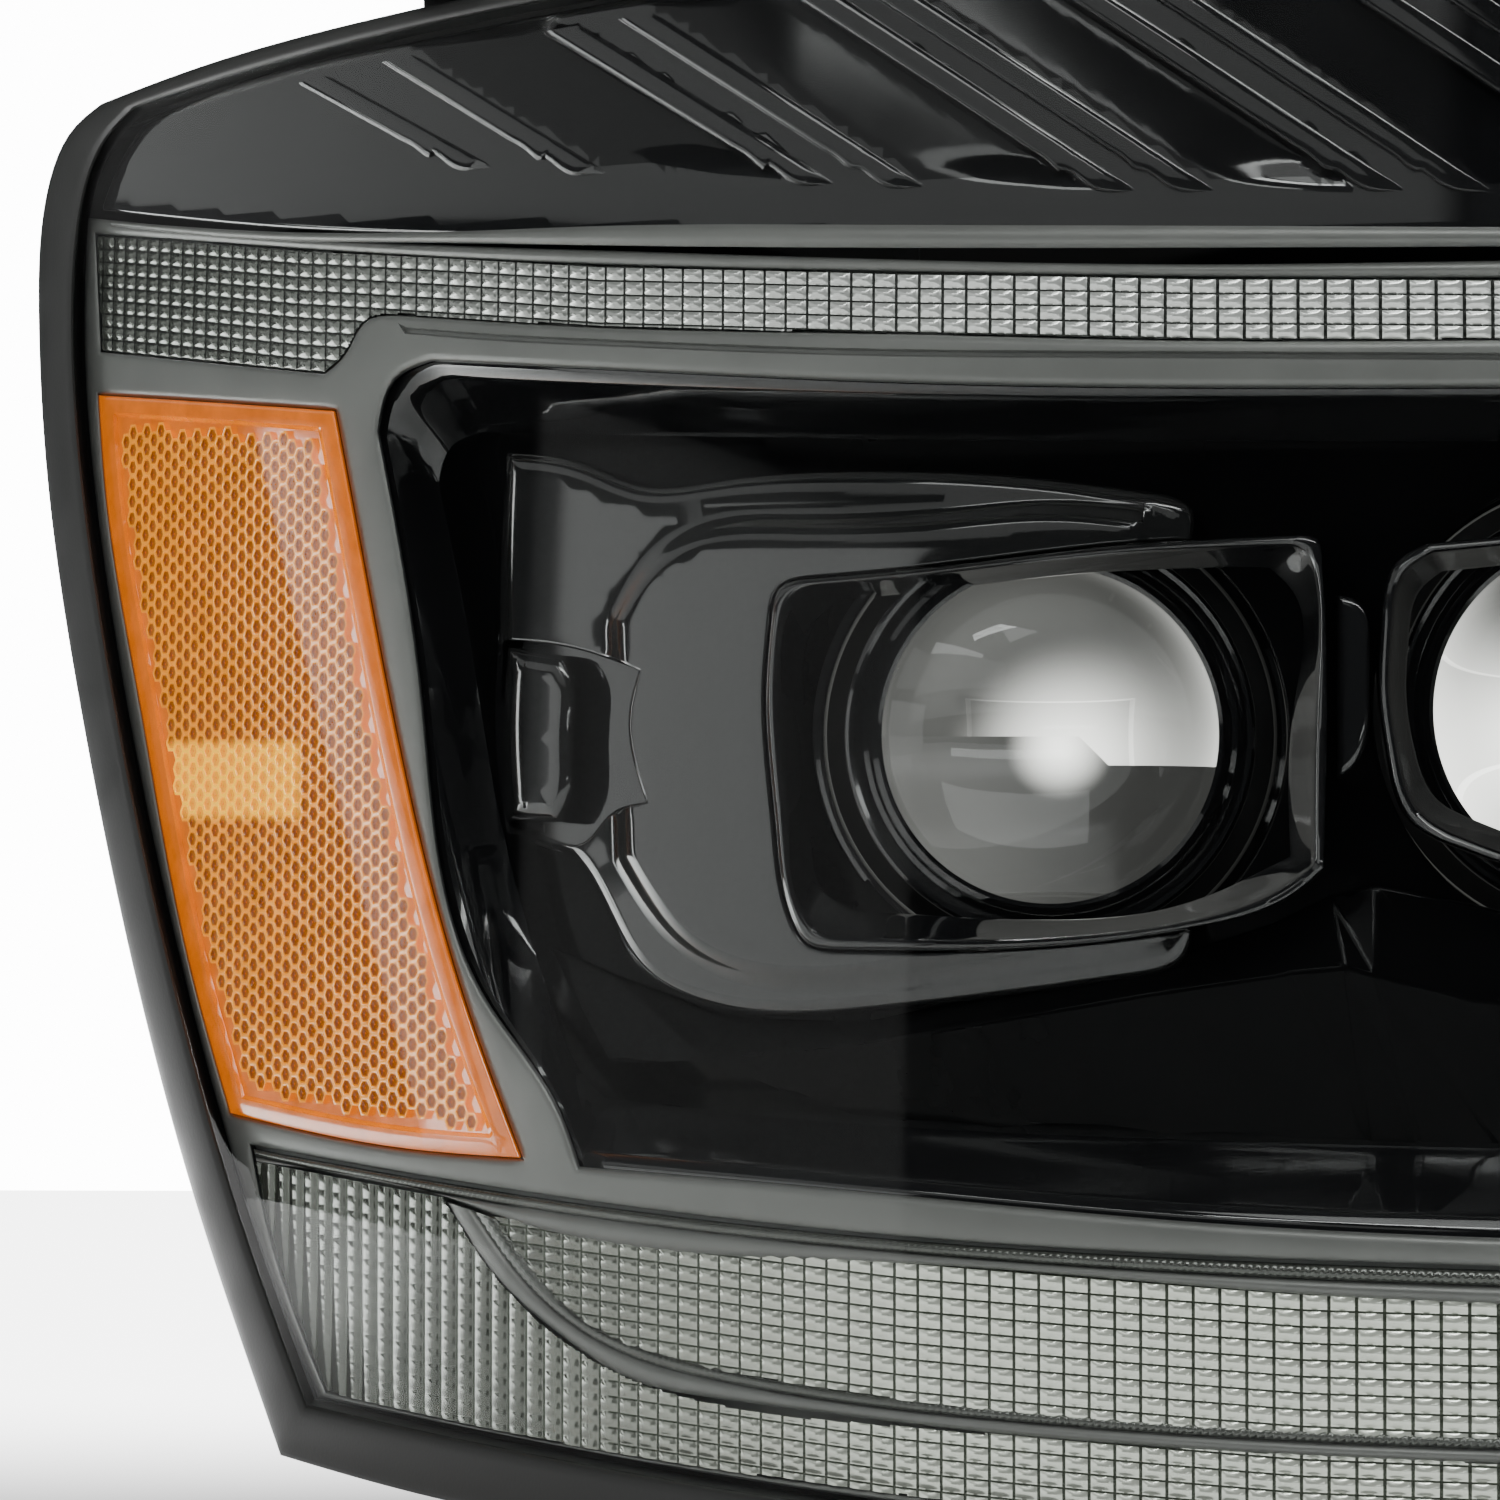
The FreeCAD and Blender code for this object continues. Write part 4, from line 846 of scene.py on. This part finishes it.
def build_louvre(index, x, z, slope, top_edge):
    """One louvre: a rounded lower-left wall and a flat top that meets the panel on its right."""
    if x - 12 > 160:
        return
    left_foot = np.array([x - 10.5, z + 1.4])
    right_tip = np.array([x, z + 0.3])
    left, right = [], []
    for line, start in ((left, left_foot), (right, right_tip)):
        px, pz = start
        rise = 0.0
        while pz + rise * slope < top_edge(px - rise) - 1.6 and rise < 75:
            line.append((px - rise, pz + rise * slope))
            rise += 3.0
        if not line:
            line.append((px, pz))
        while pz + rise * slope > top_edge(px - rise) - 1.6 and rise > 0:
            rise -= 0.2
        line.append((px - rise, pz + rise * slope))
        line.reverse()
    if len(left) < 3 or len(right) < 3:
        return
    left = left[:-1] + [(x - 13.5, z + 3.6), (x - 9.5, z + 1.2), (x - 4.0, z - 0.3), (x, z)]
    right = right + [(x + 0.3, z + 0.05)]
    if max(px for px, _ in right) > 163:
        return
    count = 48
    a = spline(left, count + 1)
    b = spline(right, count + 1)
    shares = np.array([0.0, 0.04, 0.10, 0.17, 0.24, 0.30, 0.6, 0.90, 0.96, 1.0])
    heights = np.array([2.9, 1.3, 0.2, -0.5, -0.72, -0.75, -0.75, -0.75, -0.55, 0.6])
    flat = a[:, None] * (1 - shares)[None, :, None] + b[:, None] * shares[None, :, None]
    along = np.linspace(0, 1, count + 1)
    fade = smooth((1 - along) / 0.10) * 0.9 + 0.1
    height = 0.6 + (heights[None, :] - 0.6) * fade[:, None]
    flat = flat.reshape(-1, 2)
    front = on_face(flat, 7.6 + height.reshape(-1))
    back = on_face(flat, np.full(len(flat), 10.8))
    across = len(shares) - 1
    verts, faces = closed(front, back, grid_faces(count, across))
    # The rounded lower-left walls take the darker copy, painted shade.
    shaded_walls = [i for i in range(count * across) if i % across < 4]
    add_piece("louvre_%02d" % index, verts, faces, GLOSS, "top_panel", False, 40.0, BAY_PAINTED_SHADE, shaded_walls)


# ---- satin trim -----------------------------------------------------------------------------
def build_trim():
    lamp, amber_hole, opening, lower = (inset(loop(runs, 2.0), -0.35)
                                        for runs in (TOP_LAMP, REFLECTOR, MAIN_OPENING, LOWER_LAMP))
    groove = spline([(-126, 79.5), (-106, 76.8), (-85.5, 74.7), (-46.5, 71.3), (27, 68), (79.5, 66.6),
                     (160, 66.2)], 120)
    lines = [beside(groove, by) for by in (-0.7, -0.3, 0.3, 0.7)]

    def relief(x, z):
        away = distance(np.stack([x, z], axis=1), groove, False)
        return 1.3 * smooth((0.7 - away) / 0.4)

    plate("satin_trim", loop(TRIM, 2.0), 9.0, 5.0, SATIN, "bezel_frame",
          holes=(lamp, amber_hole, opening, lower),
          relief=relief, lines=lines, radius=1.5, spacing=4.0, sharp=50.0)


def build_panel_lip():
    """The rounded satin strip along the foot of the gloss panel."""
    top = [(-195.5, 107.9), (-161, 102.3), (-123, 98.6), (-84, 97.0), (-32, 94.1), (27, 91.4),
           (79.5, 89.7), (160, 88.5)]
    low = [(-195.5, 106.9), (-161, 100.6), (-123, 96.6), (-84, 93.2), (-32, 89.8), (27, 87.4),
           (79.5, 86.2), (160, 85.2)]
    strip("panel_lip", top, low, 6.8, 2.4, SATIN, "bezel_frame", across=10, relief=half_round,
          stands_for=False)


# ---- light bars -----------------------------------------------------------------------------
CELL_PITCH = 5.1
CELL_DEPTH = 10.0
CELL_BACK = 14.0
CELL_STEPS = 8


def cells(name, outline, row_line, row_pitch, rows, height, material, seam_painted_shade, node, row_share=None,
          margin=0.0):
    """Pillow cells in columns of equal arc length and rows below a line."""
    pitch, fine = CELL_PITCH, CELL_STEPS
    region = inset(outline, -margin)
    low, high = region.min(0), region.max(0)
    start = math.floor(arc_of(low[0]) / pitch) * pitch
    columns = int(math.ceil((arc_of(high[0]) - start) / pitch))
    arcs = start + np.arange(columns * fine + 1) * pitch / fine
    xs = x_of(arcs)
    tops = np.interp(xs, [p[0] for p in row_line], [p[1] for p in row_line])
    levels = np.arange(rows * fine + 1) / fine
    x = np.repeat(xs, len(levels))
    z = (tops[:, None] - row_pitch * levels[None, :]).reshape(-1)
    a = (np.arange(len(xs)) % fine) / fine
    b = (np.arange(len(levels)) % fine) / fine
    across = 1 - (2 * a - 1)**2
    down = 1 - (2 * b - 1)**2
    share = np.ones(len(xs)) if row_share is None else row_share(xs)
    bulge = across[:, None] * (1 - share[:, None] * (1 - down[None, :]))
    flat = np.stack([x, z], axis=1)
    nu, nv = len(xs) - 1, len(levels) - 1
    corners = flat.reshape(nu + 1, nv + 1, 2)
    middle = (corners[:-1, :-1] + corners[1:, 1:]) / 2
    keep = inside(middle.reshape(-1, 2), region).reshape(nu, nv)
    faces = grid_faces(nu, nv, keep)
    column, level = np.nonzero(keep)
    # Faces along the cell grooves take the darker seam copy, painted shade in the grooves.
    seam_painted_shades = np.nonzero((column % fine == 0) | ((level % fine == 0) & (share[column] > 0.5)))[0]
    front = on_face(flat, CELL_DEPTH + 0.2 - height * bulge.reshape(-1))
    back = on_face(flat, np.full(len(flat), CELL_BACK))
    joined = np.concatenate([front, back], axis=1)
    joined, faces = compact(joined, faces)
    verts, faces = closed(joined[:, :3], joined[:, 3:], faces)
    return add_piece(name, verts, faces, material, node, True, 75.0, seam_painted_shade, seam_painted_shades)


TOP_ROW = [(-199.5, 105.5), (-150, 97.5), (-85.5, 89.5), (-27.5, 85), (27, 82), (79.5, 80.5), (165, 80)]
LOW_ROW = [(-165, -83.5), (-104.5, -89.8), (-27, -95.5), (44, -98.5), (156, -99.3)]


def build_light_bars():
    cells("top_optic", loop(TOP_LAMP, 2.0), TOP_ROW, 2.72, 14, 0.85, OPTIC, SEAM_PAINTED_SHADE, "top_lens")
    cells("upper_optic", loop(UPPER_CELLS, 2.0), LOW_ROW, 2.92, 9, 0.8, LOWER_OPTIC, LOWER_SEAM_PAINTED_SHADE,
          "lower_lens_upper",
          margin=0.8)

    def left_share(xs):
        return 0.15 + 0.85 * smooth((xs + 105) / 50)

    cells("lower_optic", loop(LOWER_CELLS, 2.0), LOW_ROW, 2.92, 15, 0.8, LOWER_OPTIC, LOWER_SEAM_PAINTED_SHADE,
          "lower_lens_lower", row_share=left_share, margin=0.3)
    build_lower_ribs()


def rope(arc, share):
    """Fine slanted ribs round a half-round strip."""
    return 1.1 * (2 * share - 1)**2 + 0.16 * np.sin(2 * math.pi * (arc / 1.5 + share * 1.2))


def half_round(arc, share):
    return 1.3 * np.abs(2 * share - 1)**2.6


def build_lower_ribs():
    top = [(-158.3, -81.9), (-104.5, -86.9), (-27, -91.8), (44, -93.5), (155.6, -94.3)]
    middle = [(-157.8, -83.4), (-104.5, -89.1), (-27, -94.0), (44, -96.2), (155.6, -96.9)]
    low = [(-157.4, -84.6), (-117, -88.2), (-104.5, -91.6), (-27, -96.0), (44, -98.9), (155.4, -99.6)]
    strip("rope_upper", top, middle, 9.1, 3.0, ROPE, "lower_rib_upper", step=0.3, across=8, relief=rope,
          sharp=75.0)
    strip("satin_upper", middle, low, 9.0, 3.5, SATIN, "lower_rib_upper", across=8, relief=half_round,
          stands_for=False)
    inner = [(-105.2, -92.0), (-98, -101), (-88.5, -109.2), (-76, -114.2), (-63.5, -116.6), (-9, -121.3),
             (78, -122.9), (154.8, -122.9)]
    centre = [(-110.5, -90.6), (-101, -102.2), (-90, -111), (-77, -116.5), (-63, -119.2), (-9, -123.4),
              (78, -125.1), (154.8, -125.1)]
    outer = [(-116, -89.3), (-104.2, -104.3), (-92, -113.2), (-80, -119.7), (-62, -122.6), (-9, -125.7),
             (78, -127.5), (154.8, -127.5)]
    strip("rope_lower", inner, centre, 9.1, 3.0, ROPE, "lower_rib_lower", step=0.3, across=8, relief=rope,
          sharp=75.0)
    strip("satin_lower", centre, outer, 9.0, 3.5, SATIN, "lower_rib_lower", across=8, relief=half_round,
          stands_for=False)


# ---- amber reflector --------------------------------------------------------------------------
def build_reflector():
    outline = loop(REFLECTOR, 2.5)
    field = inset(outline, 3.4)

    def relief(x, z):
        return 1.6 * np.clip(depth_inside(x, z, field) / 0.8, 0, 1)

    lines = closed_rings(field, (0.0, 0.8))
    plate("amber_base", outline, 7.6, 4.8, AMBER_RIM, "side_reflector", relief=relief, lines=lines,
          radius=0.7,
          spacing=4.0, sharp=20.0)
    flats = 3.55  # across one prism
    radius = flats / math.sqrt(3)
    column_pitch = radius * 1.5
    inner = inset(field, 0.9)
    low, high = inner.min(0), inner.max(0)
    verts, faces, shaded_pits = [], [], []
    columns = int((arc_of(high[0]) - arc_of(low[0])) / column_pitch) + 2
    for column in range(columns):
        arc = arc_of(low[0]) + column * column_pitch
        for row in range(int((high[1] - low[1]) / flats) + 2):
            z = low[1] + row * flats + (flats / 2 if column % 2 else 0.0)
            turn = np.radians(np.arange(6) * 60.0)
            arcs, zs = arc + radius * np.cos(turn), z + radius * np.sin(turn)
            corners = np.stack([x_of(arcs), zs], axis=1)
            if not inside(corners, inner).all():
                continue
            base = len(verts)
            for scale, depth in ((1.0, 7.9), (0.80, 7.95), (0.66, 8.7)):
                ring = np.stack([x_of(arc + scale * (arcs - arc)), z + scale * (zs - z)], axis=1)
                verts.extend(on_face(ring, np.full(6, depth)))
            verts.extend(on_face(np.array([[x_of(arc), z]]), np.full(1, 9.3)))
            for k in range(6):
                j = (k + 1) % 6
                faces.append((base + k, base + j, base + 6 + j, base + 6 + k))
                faces.append((base + 6 + k, base + 6 + j, base + 12 + j, base + 12 + k))
                shaded_pits.append(len(faces))
                faces.append((base + 12 + k, base + 12 + j, base + 18))
    front = np.array(verts)
    welded, order = np.unique(np.round(front, 4), axis=0, return_inverse=True)
    order = order.reshape(-1)
    faces = [tuple(int(order[i]) for i in f) for f in faces]
    back = welded.copy()
    back[:, 1] = face(welded[:, 0], welded[:, 2]) + 10.2
    solid, faces = closed(welded, back, faces)
    # The ribs take the lighter amber, a painted highlight; the pits take the darker amber, painted shade in
    # the hollows.
    add_piece("amber_prisms", solid, faces, AMBER_RIB_PAINTED_LIGHT, "side_reflector", stands_for=False, sharp=15.0,
              second=AMBER_PIT_PAINTED_SHADE, second_faces=shaded_pits)


# ---- black interior ---------------------------------------------------------------------------
def build_interior():
    front, back = twin_loops(MAIN_OPENING, OPENING_FLOOR, 2.5)
    section = [(-0.12, 15.0), (-0.02, 14.6), (0.10, 15.2), (0.25, 18.0), (0.55, 25.0), (0.85, 31.0),
               (1.0, 33.2),
               (1.05, 35.5), (0.5, 29.0), (-0.1, 20.0)]
    ring_between("opening_wall", front, back, section, GLOSS, "main_bezel", sharp=40.0)
    holes = [circle(x, z, 43.0) for x, _, z in (LOW_AXIS, HIGH_AXIS)]
    # The back of the opening takes the darker copy, painted shade.
    plate("opening_back", inset(loop(OPENING_FLOOR, 2.5), -1.0), 33.0, 3.0, INTERIOR_PAINTED_SHADE, "main_bezel",
          holes=holes,
          radius=0.4, spacing=5.0, stands_for=False)
    build_facets()
    build_fin()


def build_facets():
    """Low facets under the projectors; their ridges meet in a star between the two."""
    upper = [(-97, -40, 32), (-82, -46, 31), (-60, -53, 30), (-34, -53, 30), (-9, -47, 31), (20, -41, 31),
             (40, -34, 31),
             (50, -29, 30), (58, -27, 30), (74, -30, 31), (100, -36, 31), (126, -36, 31), (148, -30, 32)]
    ridge = [(-95, -52, 32), (-84, -62, 28), (-64, -60.5, 27), (-34, -56.5, 26.5), (-9, -52, 26),
             (22, -46, 25), (43, -42.7, 24),
             (52.5, -41.5, 21.5), (58, -43, 24), (74, -47, 26.5), (100, -50, 28), (126, -52, 30),
             (148, -50, 32)]
    lower = [(-90, -62, 33.2), (-82, -69.5, 33.2), (-64, -71, 33.2), (-34, -72, 33.2), (-9, -72.5, 33.2),
             (22, -73, 33.2),
             (44, -73.2, 33.2), (57, -73.4, 33.2), (66, -73.5, 33.2), (80, -73.6, 33.2), (100, -73.7, 33.2),
             (126, -74, 33.2), (147, -70, 33.2)]
    count = len(upper)
    points = np.array(upper + ridge + lower, float)
    front = on_face(points[:, :2], points[:, 2])
    back = on_face(points[:, :2], np.full(len(points), 35.8))
    faces = []
    for r in range(2):
        for i in range(count - 1):
            a, b = r * count + i, (r + 1) * count + i
            faces.append((a, a + 1, b + 1))
            faces.append((a, b + 1, b))
    verts, faces = closed(front, back, faces)
    # The facets take the darker copy, painted shade.
    facets = add_piece("floor_facets", verts, faces, INTERIOR_PAINTED_SHADE, "main_bezel", stands_for=False, sharp=4.0)
    soften(facets, 0.0006, 3, 4)


def build_fin():
    outline = loop([
        [(51.2, 25), (55.0, 24), (57.2, 14), (57.0, 2), (54, -6), (51.2, -8)],
        [(51.2, -8), (51.2, 25)],
    ], 1.5)
    plate("fin", outline, 24.0, 9.0, GLOSS, "main_bezel", radius=1.6, spacing=2.5, stands_for=False,
          sharp=40.0)


def build_wing():
    """The shroud outboard of the low beam, its raised step, and the pod in its pocket."""
    ridge = loop(RIDGE, 2.0)
    hollow = loop(POD_HOLLOW, 1.5)
    bezel = inset(loop(LOW_BEZEL, 2.0), -0.4)
    outline = loop(WING, 2.0)

    def relief(x, z):
        return -3.0 * smooth(depth_inside(x, z, ridge) / 5.0)

    lines = closed_rings(ridge, (0.0, 0.8, 1.7, 2.5, 3.3, 4.2, 5.0))
    plate("wing", outline, 27.0, 6.0, WING_GLOSS, "wing_shroud", holes=(bezel, hollow), relief=relief,
          lines=lines,
          radius=3.2, hole_radius=0.7, spacing=3.0, sharp=45.0)
    plate("wing_pocket", inset(hollow, -1.5), 31.5, 1.4, GLOSS, "wing_shroud", radius=0.3, spacing=3.0,
          stands_for=False)
    plate("pod", loop(POD, 1.5), 22.5, 10.0, WING_GLOSS, "side_pod", radius=4.0, spacing=2.0, sharp=50.0)


def build_bezel(name, outer_runs, inner_runs, axis, node):
    """A rounded-square frame round one projector, and the round cone behind it."""
    outer, inner = twin_loops(outer_runs, inner_runs, 1.5)
    section = [(0.0, 32.8), (0.0, 22.0), (0.03, 20.9), (0.10, 20.2), (0.2, 20.0), (0.3, 20.3),
               (0.38, 21.2), (0.46, 23.0),
               (0.75, 27.5), (0.97, 31.2), (1.05, 32.3), (1.06, 32.8)]
    ring_between(name, outer, inner, section, GLOSS, node, sharp=40.0)
    profile = [(41.7, 26.0), (41.7, 7.6), (42.1, 6.6), (42.9, 6.2), (43.8, 6.5), (44.2, 7.4), (44.2, 26.0)]
    lathe(name + "_cone", profile, axis, GLOSS, node, stands_for=False)


# ---- projectors ---------------------------------------------------------------------------------
DOME_STEPS = 28


def build_projector(name, axis):
    """The glass, its ring, and the can whose inside shows through the glass."""
    crown, wide, edge, back = 14.0, 32.0, 31.9, 3.6
    sphere = (wide**2 + crown**2) / (2 * crown)
    dome = []
    for k in range(DOME_STEPS + 1):
        radius = edge * k / DOME_STEPS
        dome.append((radius, sphere - crown - math.sqrt(sphere**2 - radius**2)))
    lathe(name + "_glass", dome + [(edge, back), (0.0, back)], axis, GLASS, name + "_lens")
    ring = [(31.95, 4.0), (31.95, -0.8), (31.2, -1.3), (31.1, -1.9), (31.9, -2.3), (33.0, -2.0),
            (33.6, -1.0), (34.6, -0.6),
            (35.6, -1.2), (36.4, -2.3), (37.2, -2.4), (37.8, -1.9), (38.0, -1.0), (38.0, 8.0),
            (35.0, 8.0), (35.0, 4.0)]
    lathe(name + "_ring", ring, axis, GLOSS, name + "_lens_ring")
    bowl = [(35.0, 4.0), (35.0, 64.0), (0.0, 64.0), (0.0, 60.8), (8, 60.0), (16, 57.0), (23, 51.5),
            (28, 44), (31, 34), (31.5, 4.0)]
    # The can, the LED board and the low beam's shutter carry the painted glow and the painted hot spots.
    lathe(name + "_can", bowl, axis, PAINTED_GLOW_BOWLS[name], name + "_projector", around=14, sharp=8.0)
    frame["nodes"][name + "_led_board"].data.materials[0] = PAINTED_GLOW_BOWLS[name]
    frame["nodes"][name + "_projector"].data.materials[0] = BY_SLOT["projector_metal"]
    if name == "low":
        frame["nodes"]["cutoff_shutter"].data.materials[0] = PAINTED_GLOW_BOWLS[name]


# ---- stage, light and camera ------------------------------------------------------------------
def build_stage():
    """A pale floor that brightens into the white background behind the lamp."""
    material, tree, shader = new_material("pale_floor")
    noise = add_noise(tree, 3.0)
    glow = spread(tree, axes_of(tree)["Y"], 0.0, 0.35, 0.0, 5.0, "SMOOTHSTEP")
    feed(tree, shader,
         {"Roughness": 0.9, "Emission Color": (1, 1, 1, 1)},
         {"Base Color": add_mix(tree, noise, (0.80, 0.80, 0.80), (0.82, 0.82, 0.82)),
          "Emission Strength": glow})
    side, near, far, z = 2.4, -2.0, 1.2, CAD_BOX[0].z - 0.001
    add_card("floor", [(-side, near, z), (side, near, z), (side, far, z), (-side, far, z)], material)


def add_card(name, corners, material):
    data = bpy.data.meshes.new(name)
    data.from_pydata(corners, [], [(0, 1, 2, 3)])
    data.materials.append(material)
    card = bpy.data.objects.new(name, data)
    bpy.context.scene.collection.objects.link(card)


def glow_card(name, corners, radiance, soft, faded=(True, True)):
    """A glowing card that the lamp mirrors, in millimetres. It dies away above, below and at the
    front and back ends that are faded."""
    material, tree, shader = new_material(name)
    axes = axes_of(tree, "Generated")
    strength = radiance
    for axis in ("Y", "Z"):
        ramp = add_node(tree, "ValToRGB", links={"Fac": axes[axis]})
        stops = ramp.color_ramp
        stops.interpolation = "EASE"
        for stop, end, fade in zip(list(stops.elements), (0.0, 1.0), faded):
            level = 0.0 if axis == "Z" or fade else 1.0
            stop.position, stop.color = end, (level, level, level, 1)
        for position in (soft, 1.0 - soft):
            stops.elements.new(position).color = (1, 1, 1, 1)
        strength = add_math(tree, "MULTIPLY", ramp.outputs["Color"], strength)
    feed(tree, shader, {"Base Color": (0, 0, 0, 1), "Emission Color": (1, 1, 1, 1)},
         {"Emission Strength": strength})
    add_card(name, [tuple((np.array(c) + SHIFT) / 1000.0) for c in corners], material)


def softbox(name, place, size, radiance, mirrored=True):
    """A rectangular light aimed at the lamp."""
    light = bpy.data.lights.new(name, "AREA")
    light.shape = "RECTANGLE"
    light.size, light.size_y = size
    light.energy = radiance * size[0] * size[1] * math.pi
    obj = bpy.data.objects.new(name, light)
    bpy.context.scene.collection.objects.link(obj)
    obj.location = place
    obj.visible_glossy = mirrored
    obj.rotation_euler = (LAMP_MIDDLE - Vector(place)).to_track_quat("-Z", "Y").to_euler()


def build_world():
    """White behind the lamp, nearly black in mirrors, and a soft dome on everything else."""
    world = bpy.data.worlds.new("studio")
    bpy.context.scene.world = world
    world.use_nodes = True
    tree = world.node_tree
    tree.nodes.clear()
    seen, dim, dome = (
        add_node(tree, "Background", {"Color": (*color, 1), "Strength": strength}).outputs["Background"]
        for color, strength in (((1, 1, 1), 14.0), ((0.9, 0.95, 1.0), 0.04), ((1, 1, 1), 0.75)))
    path = add_node(tree, "LightPath").outputs
    soft = add_node(tree, "MixShader", links={"Fac": path["Is Diffuse Ray"], 1: dim, 2: dome})
    mix = add_node(tree, "MixShader",
                   links={"Fac": path["Is Camera Ray"], 1: soft.outputs["Shader"], 2: seen})
    add_node(tree, "OutputWorld", links={"Surface": mix.outputs["Shader"]})


LAMP_MIDDLE = Vector((-0.02, -0.1, -0.15))


def build_light():
    build_world()
    softbox("top_light", (0.1, -0.45, 1.1), (1.5, 0.8), 2.0)
    softbox("top_strip", (0.0, -0.75, 1.0), (1.8, 0.10), 9.0)
    softbox("low_strip", (0.3, -1.9, -0.02), (0.9, 0.06), 4.0)
    softbox("front_light", (0.4, -2.3, 0.7), (1.6, 0.7), 2.0, mirrored=False)
    softbox("left_light", (-1.3, -0.9, 0.9), (0.9, 0.35), 3.2)
    softbox("back_light", (0.5, 1.3, 0.8), (1.0, 0.5), 5.0)
    glow_card("marker_strip", [(-1200, 523, 212), (-1200, 428, 212), (-1200, 128, -86), (-1200, 228, -86)],
              5.0, 0.02)
    glow_card("wing_card", [(-1200, 110, 265), (-1150, -520, 290), (-1150, -520, -500), (-1200, 110, -500)],
              1.0, 0.04)
    glow_card("panel_card", [(-1150, 860, 640), (-1170, -330, 800), (-1170, -330, 400), (-1150, 860, 240)],
              0.42, 0.10, (False, True))
    glow_card("panel_card_front",
              [(-1170, -330, 800), (-700, -1500, 1150), (-700, -1500, 700), (-1170, -330, 330)],
              0.42, 0.10, (True, False))


def build_camera():
    data = bpy.data.cameras.new("camera")
    data.sensor_width = 36.0
    data.lens = 181.73
    data.clip_start = 0.05
    camera = bpy.data.objects.new("camera", data)
    bpy.context.scene.collection.objects.link(camera)
    camera.location = (0.0, -1.472, -0.1575)
    camera.rotation_euler = (math.radians(90.1136), 0.0, math.radians(2.27))
    bpy.context.scene.camera = camera


build_rim()
build_cover()
build_top_panel()
build_trim()
build_panel_lip()
build_light_bars()
build_reflector()
build_interior()
build_wing()
build_bezel("low_frame", LOW_BEZEL, LOW_OPENING, LOW_AXIS, "low_bezel")
build_bezel("high_frame", HIGH_BEZEL, HIGH_OPENING, HIGH_AXIS, "high_bezel")
build_projector("low", LOW_AXIS)
build_projector("high", HIGH_AXIS)
build_stage()
build_light()
build_camera()
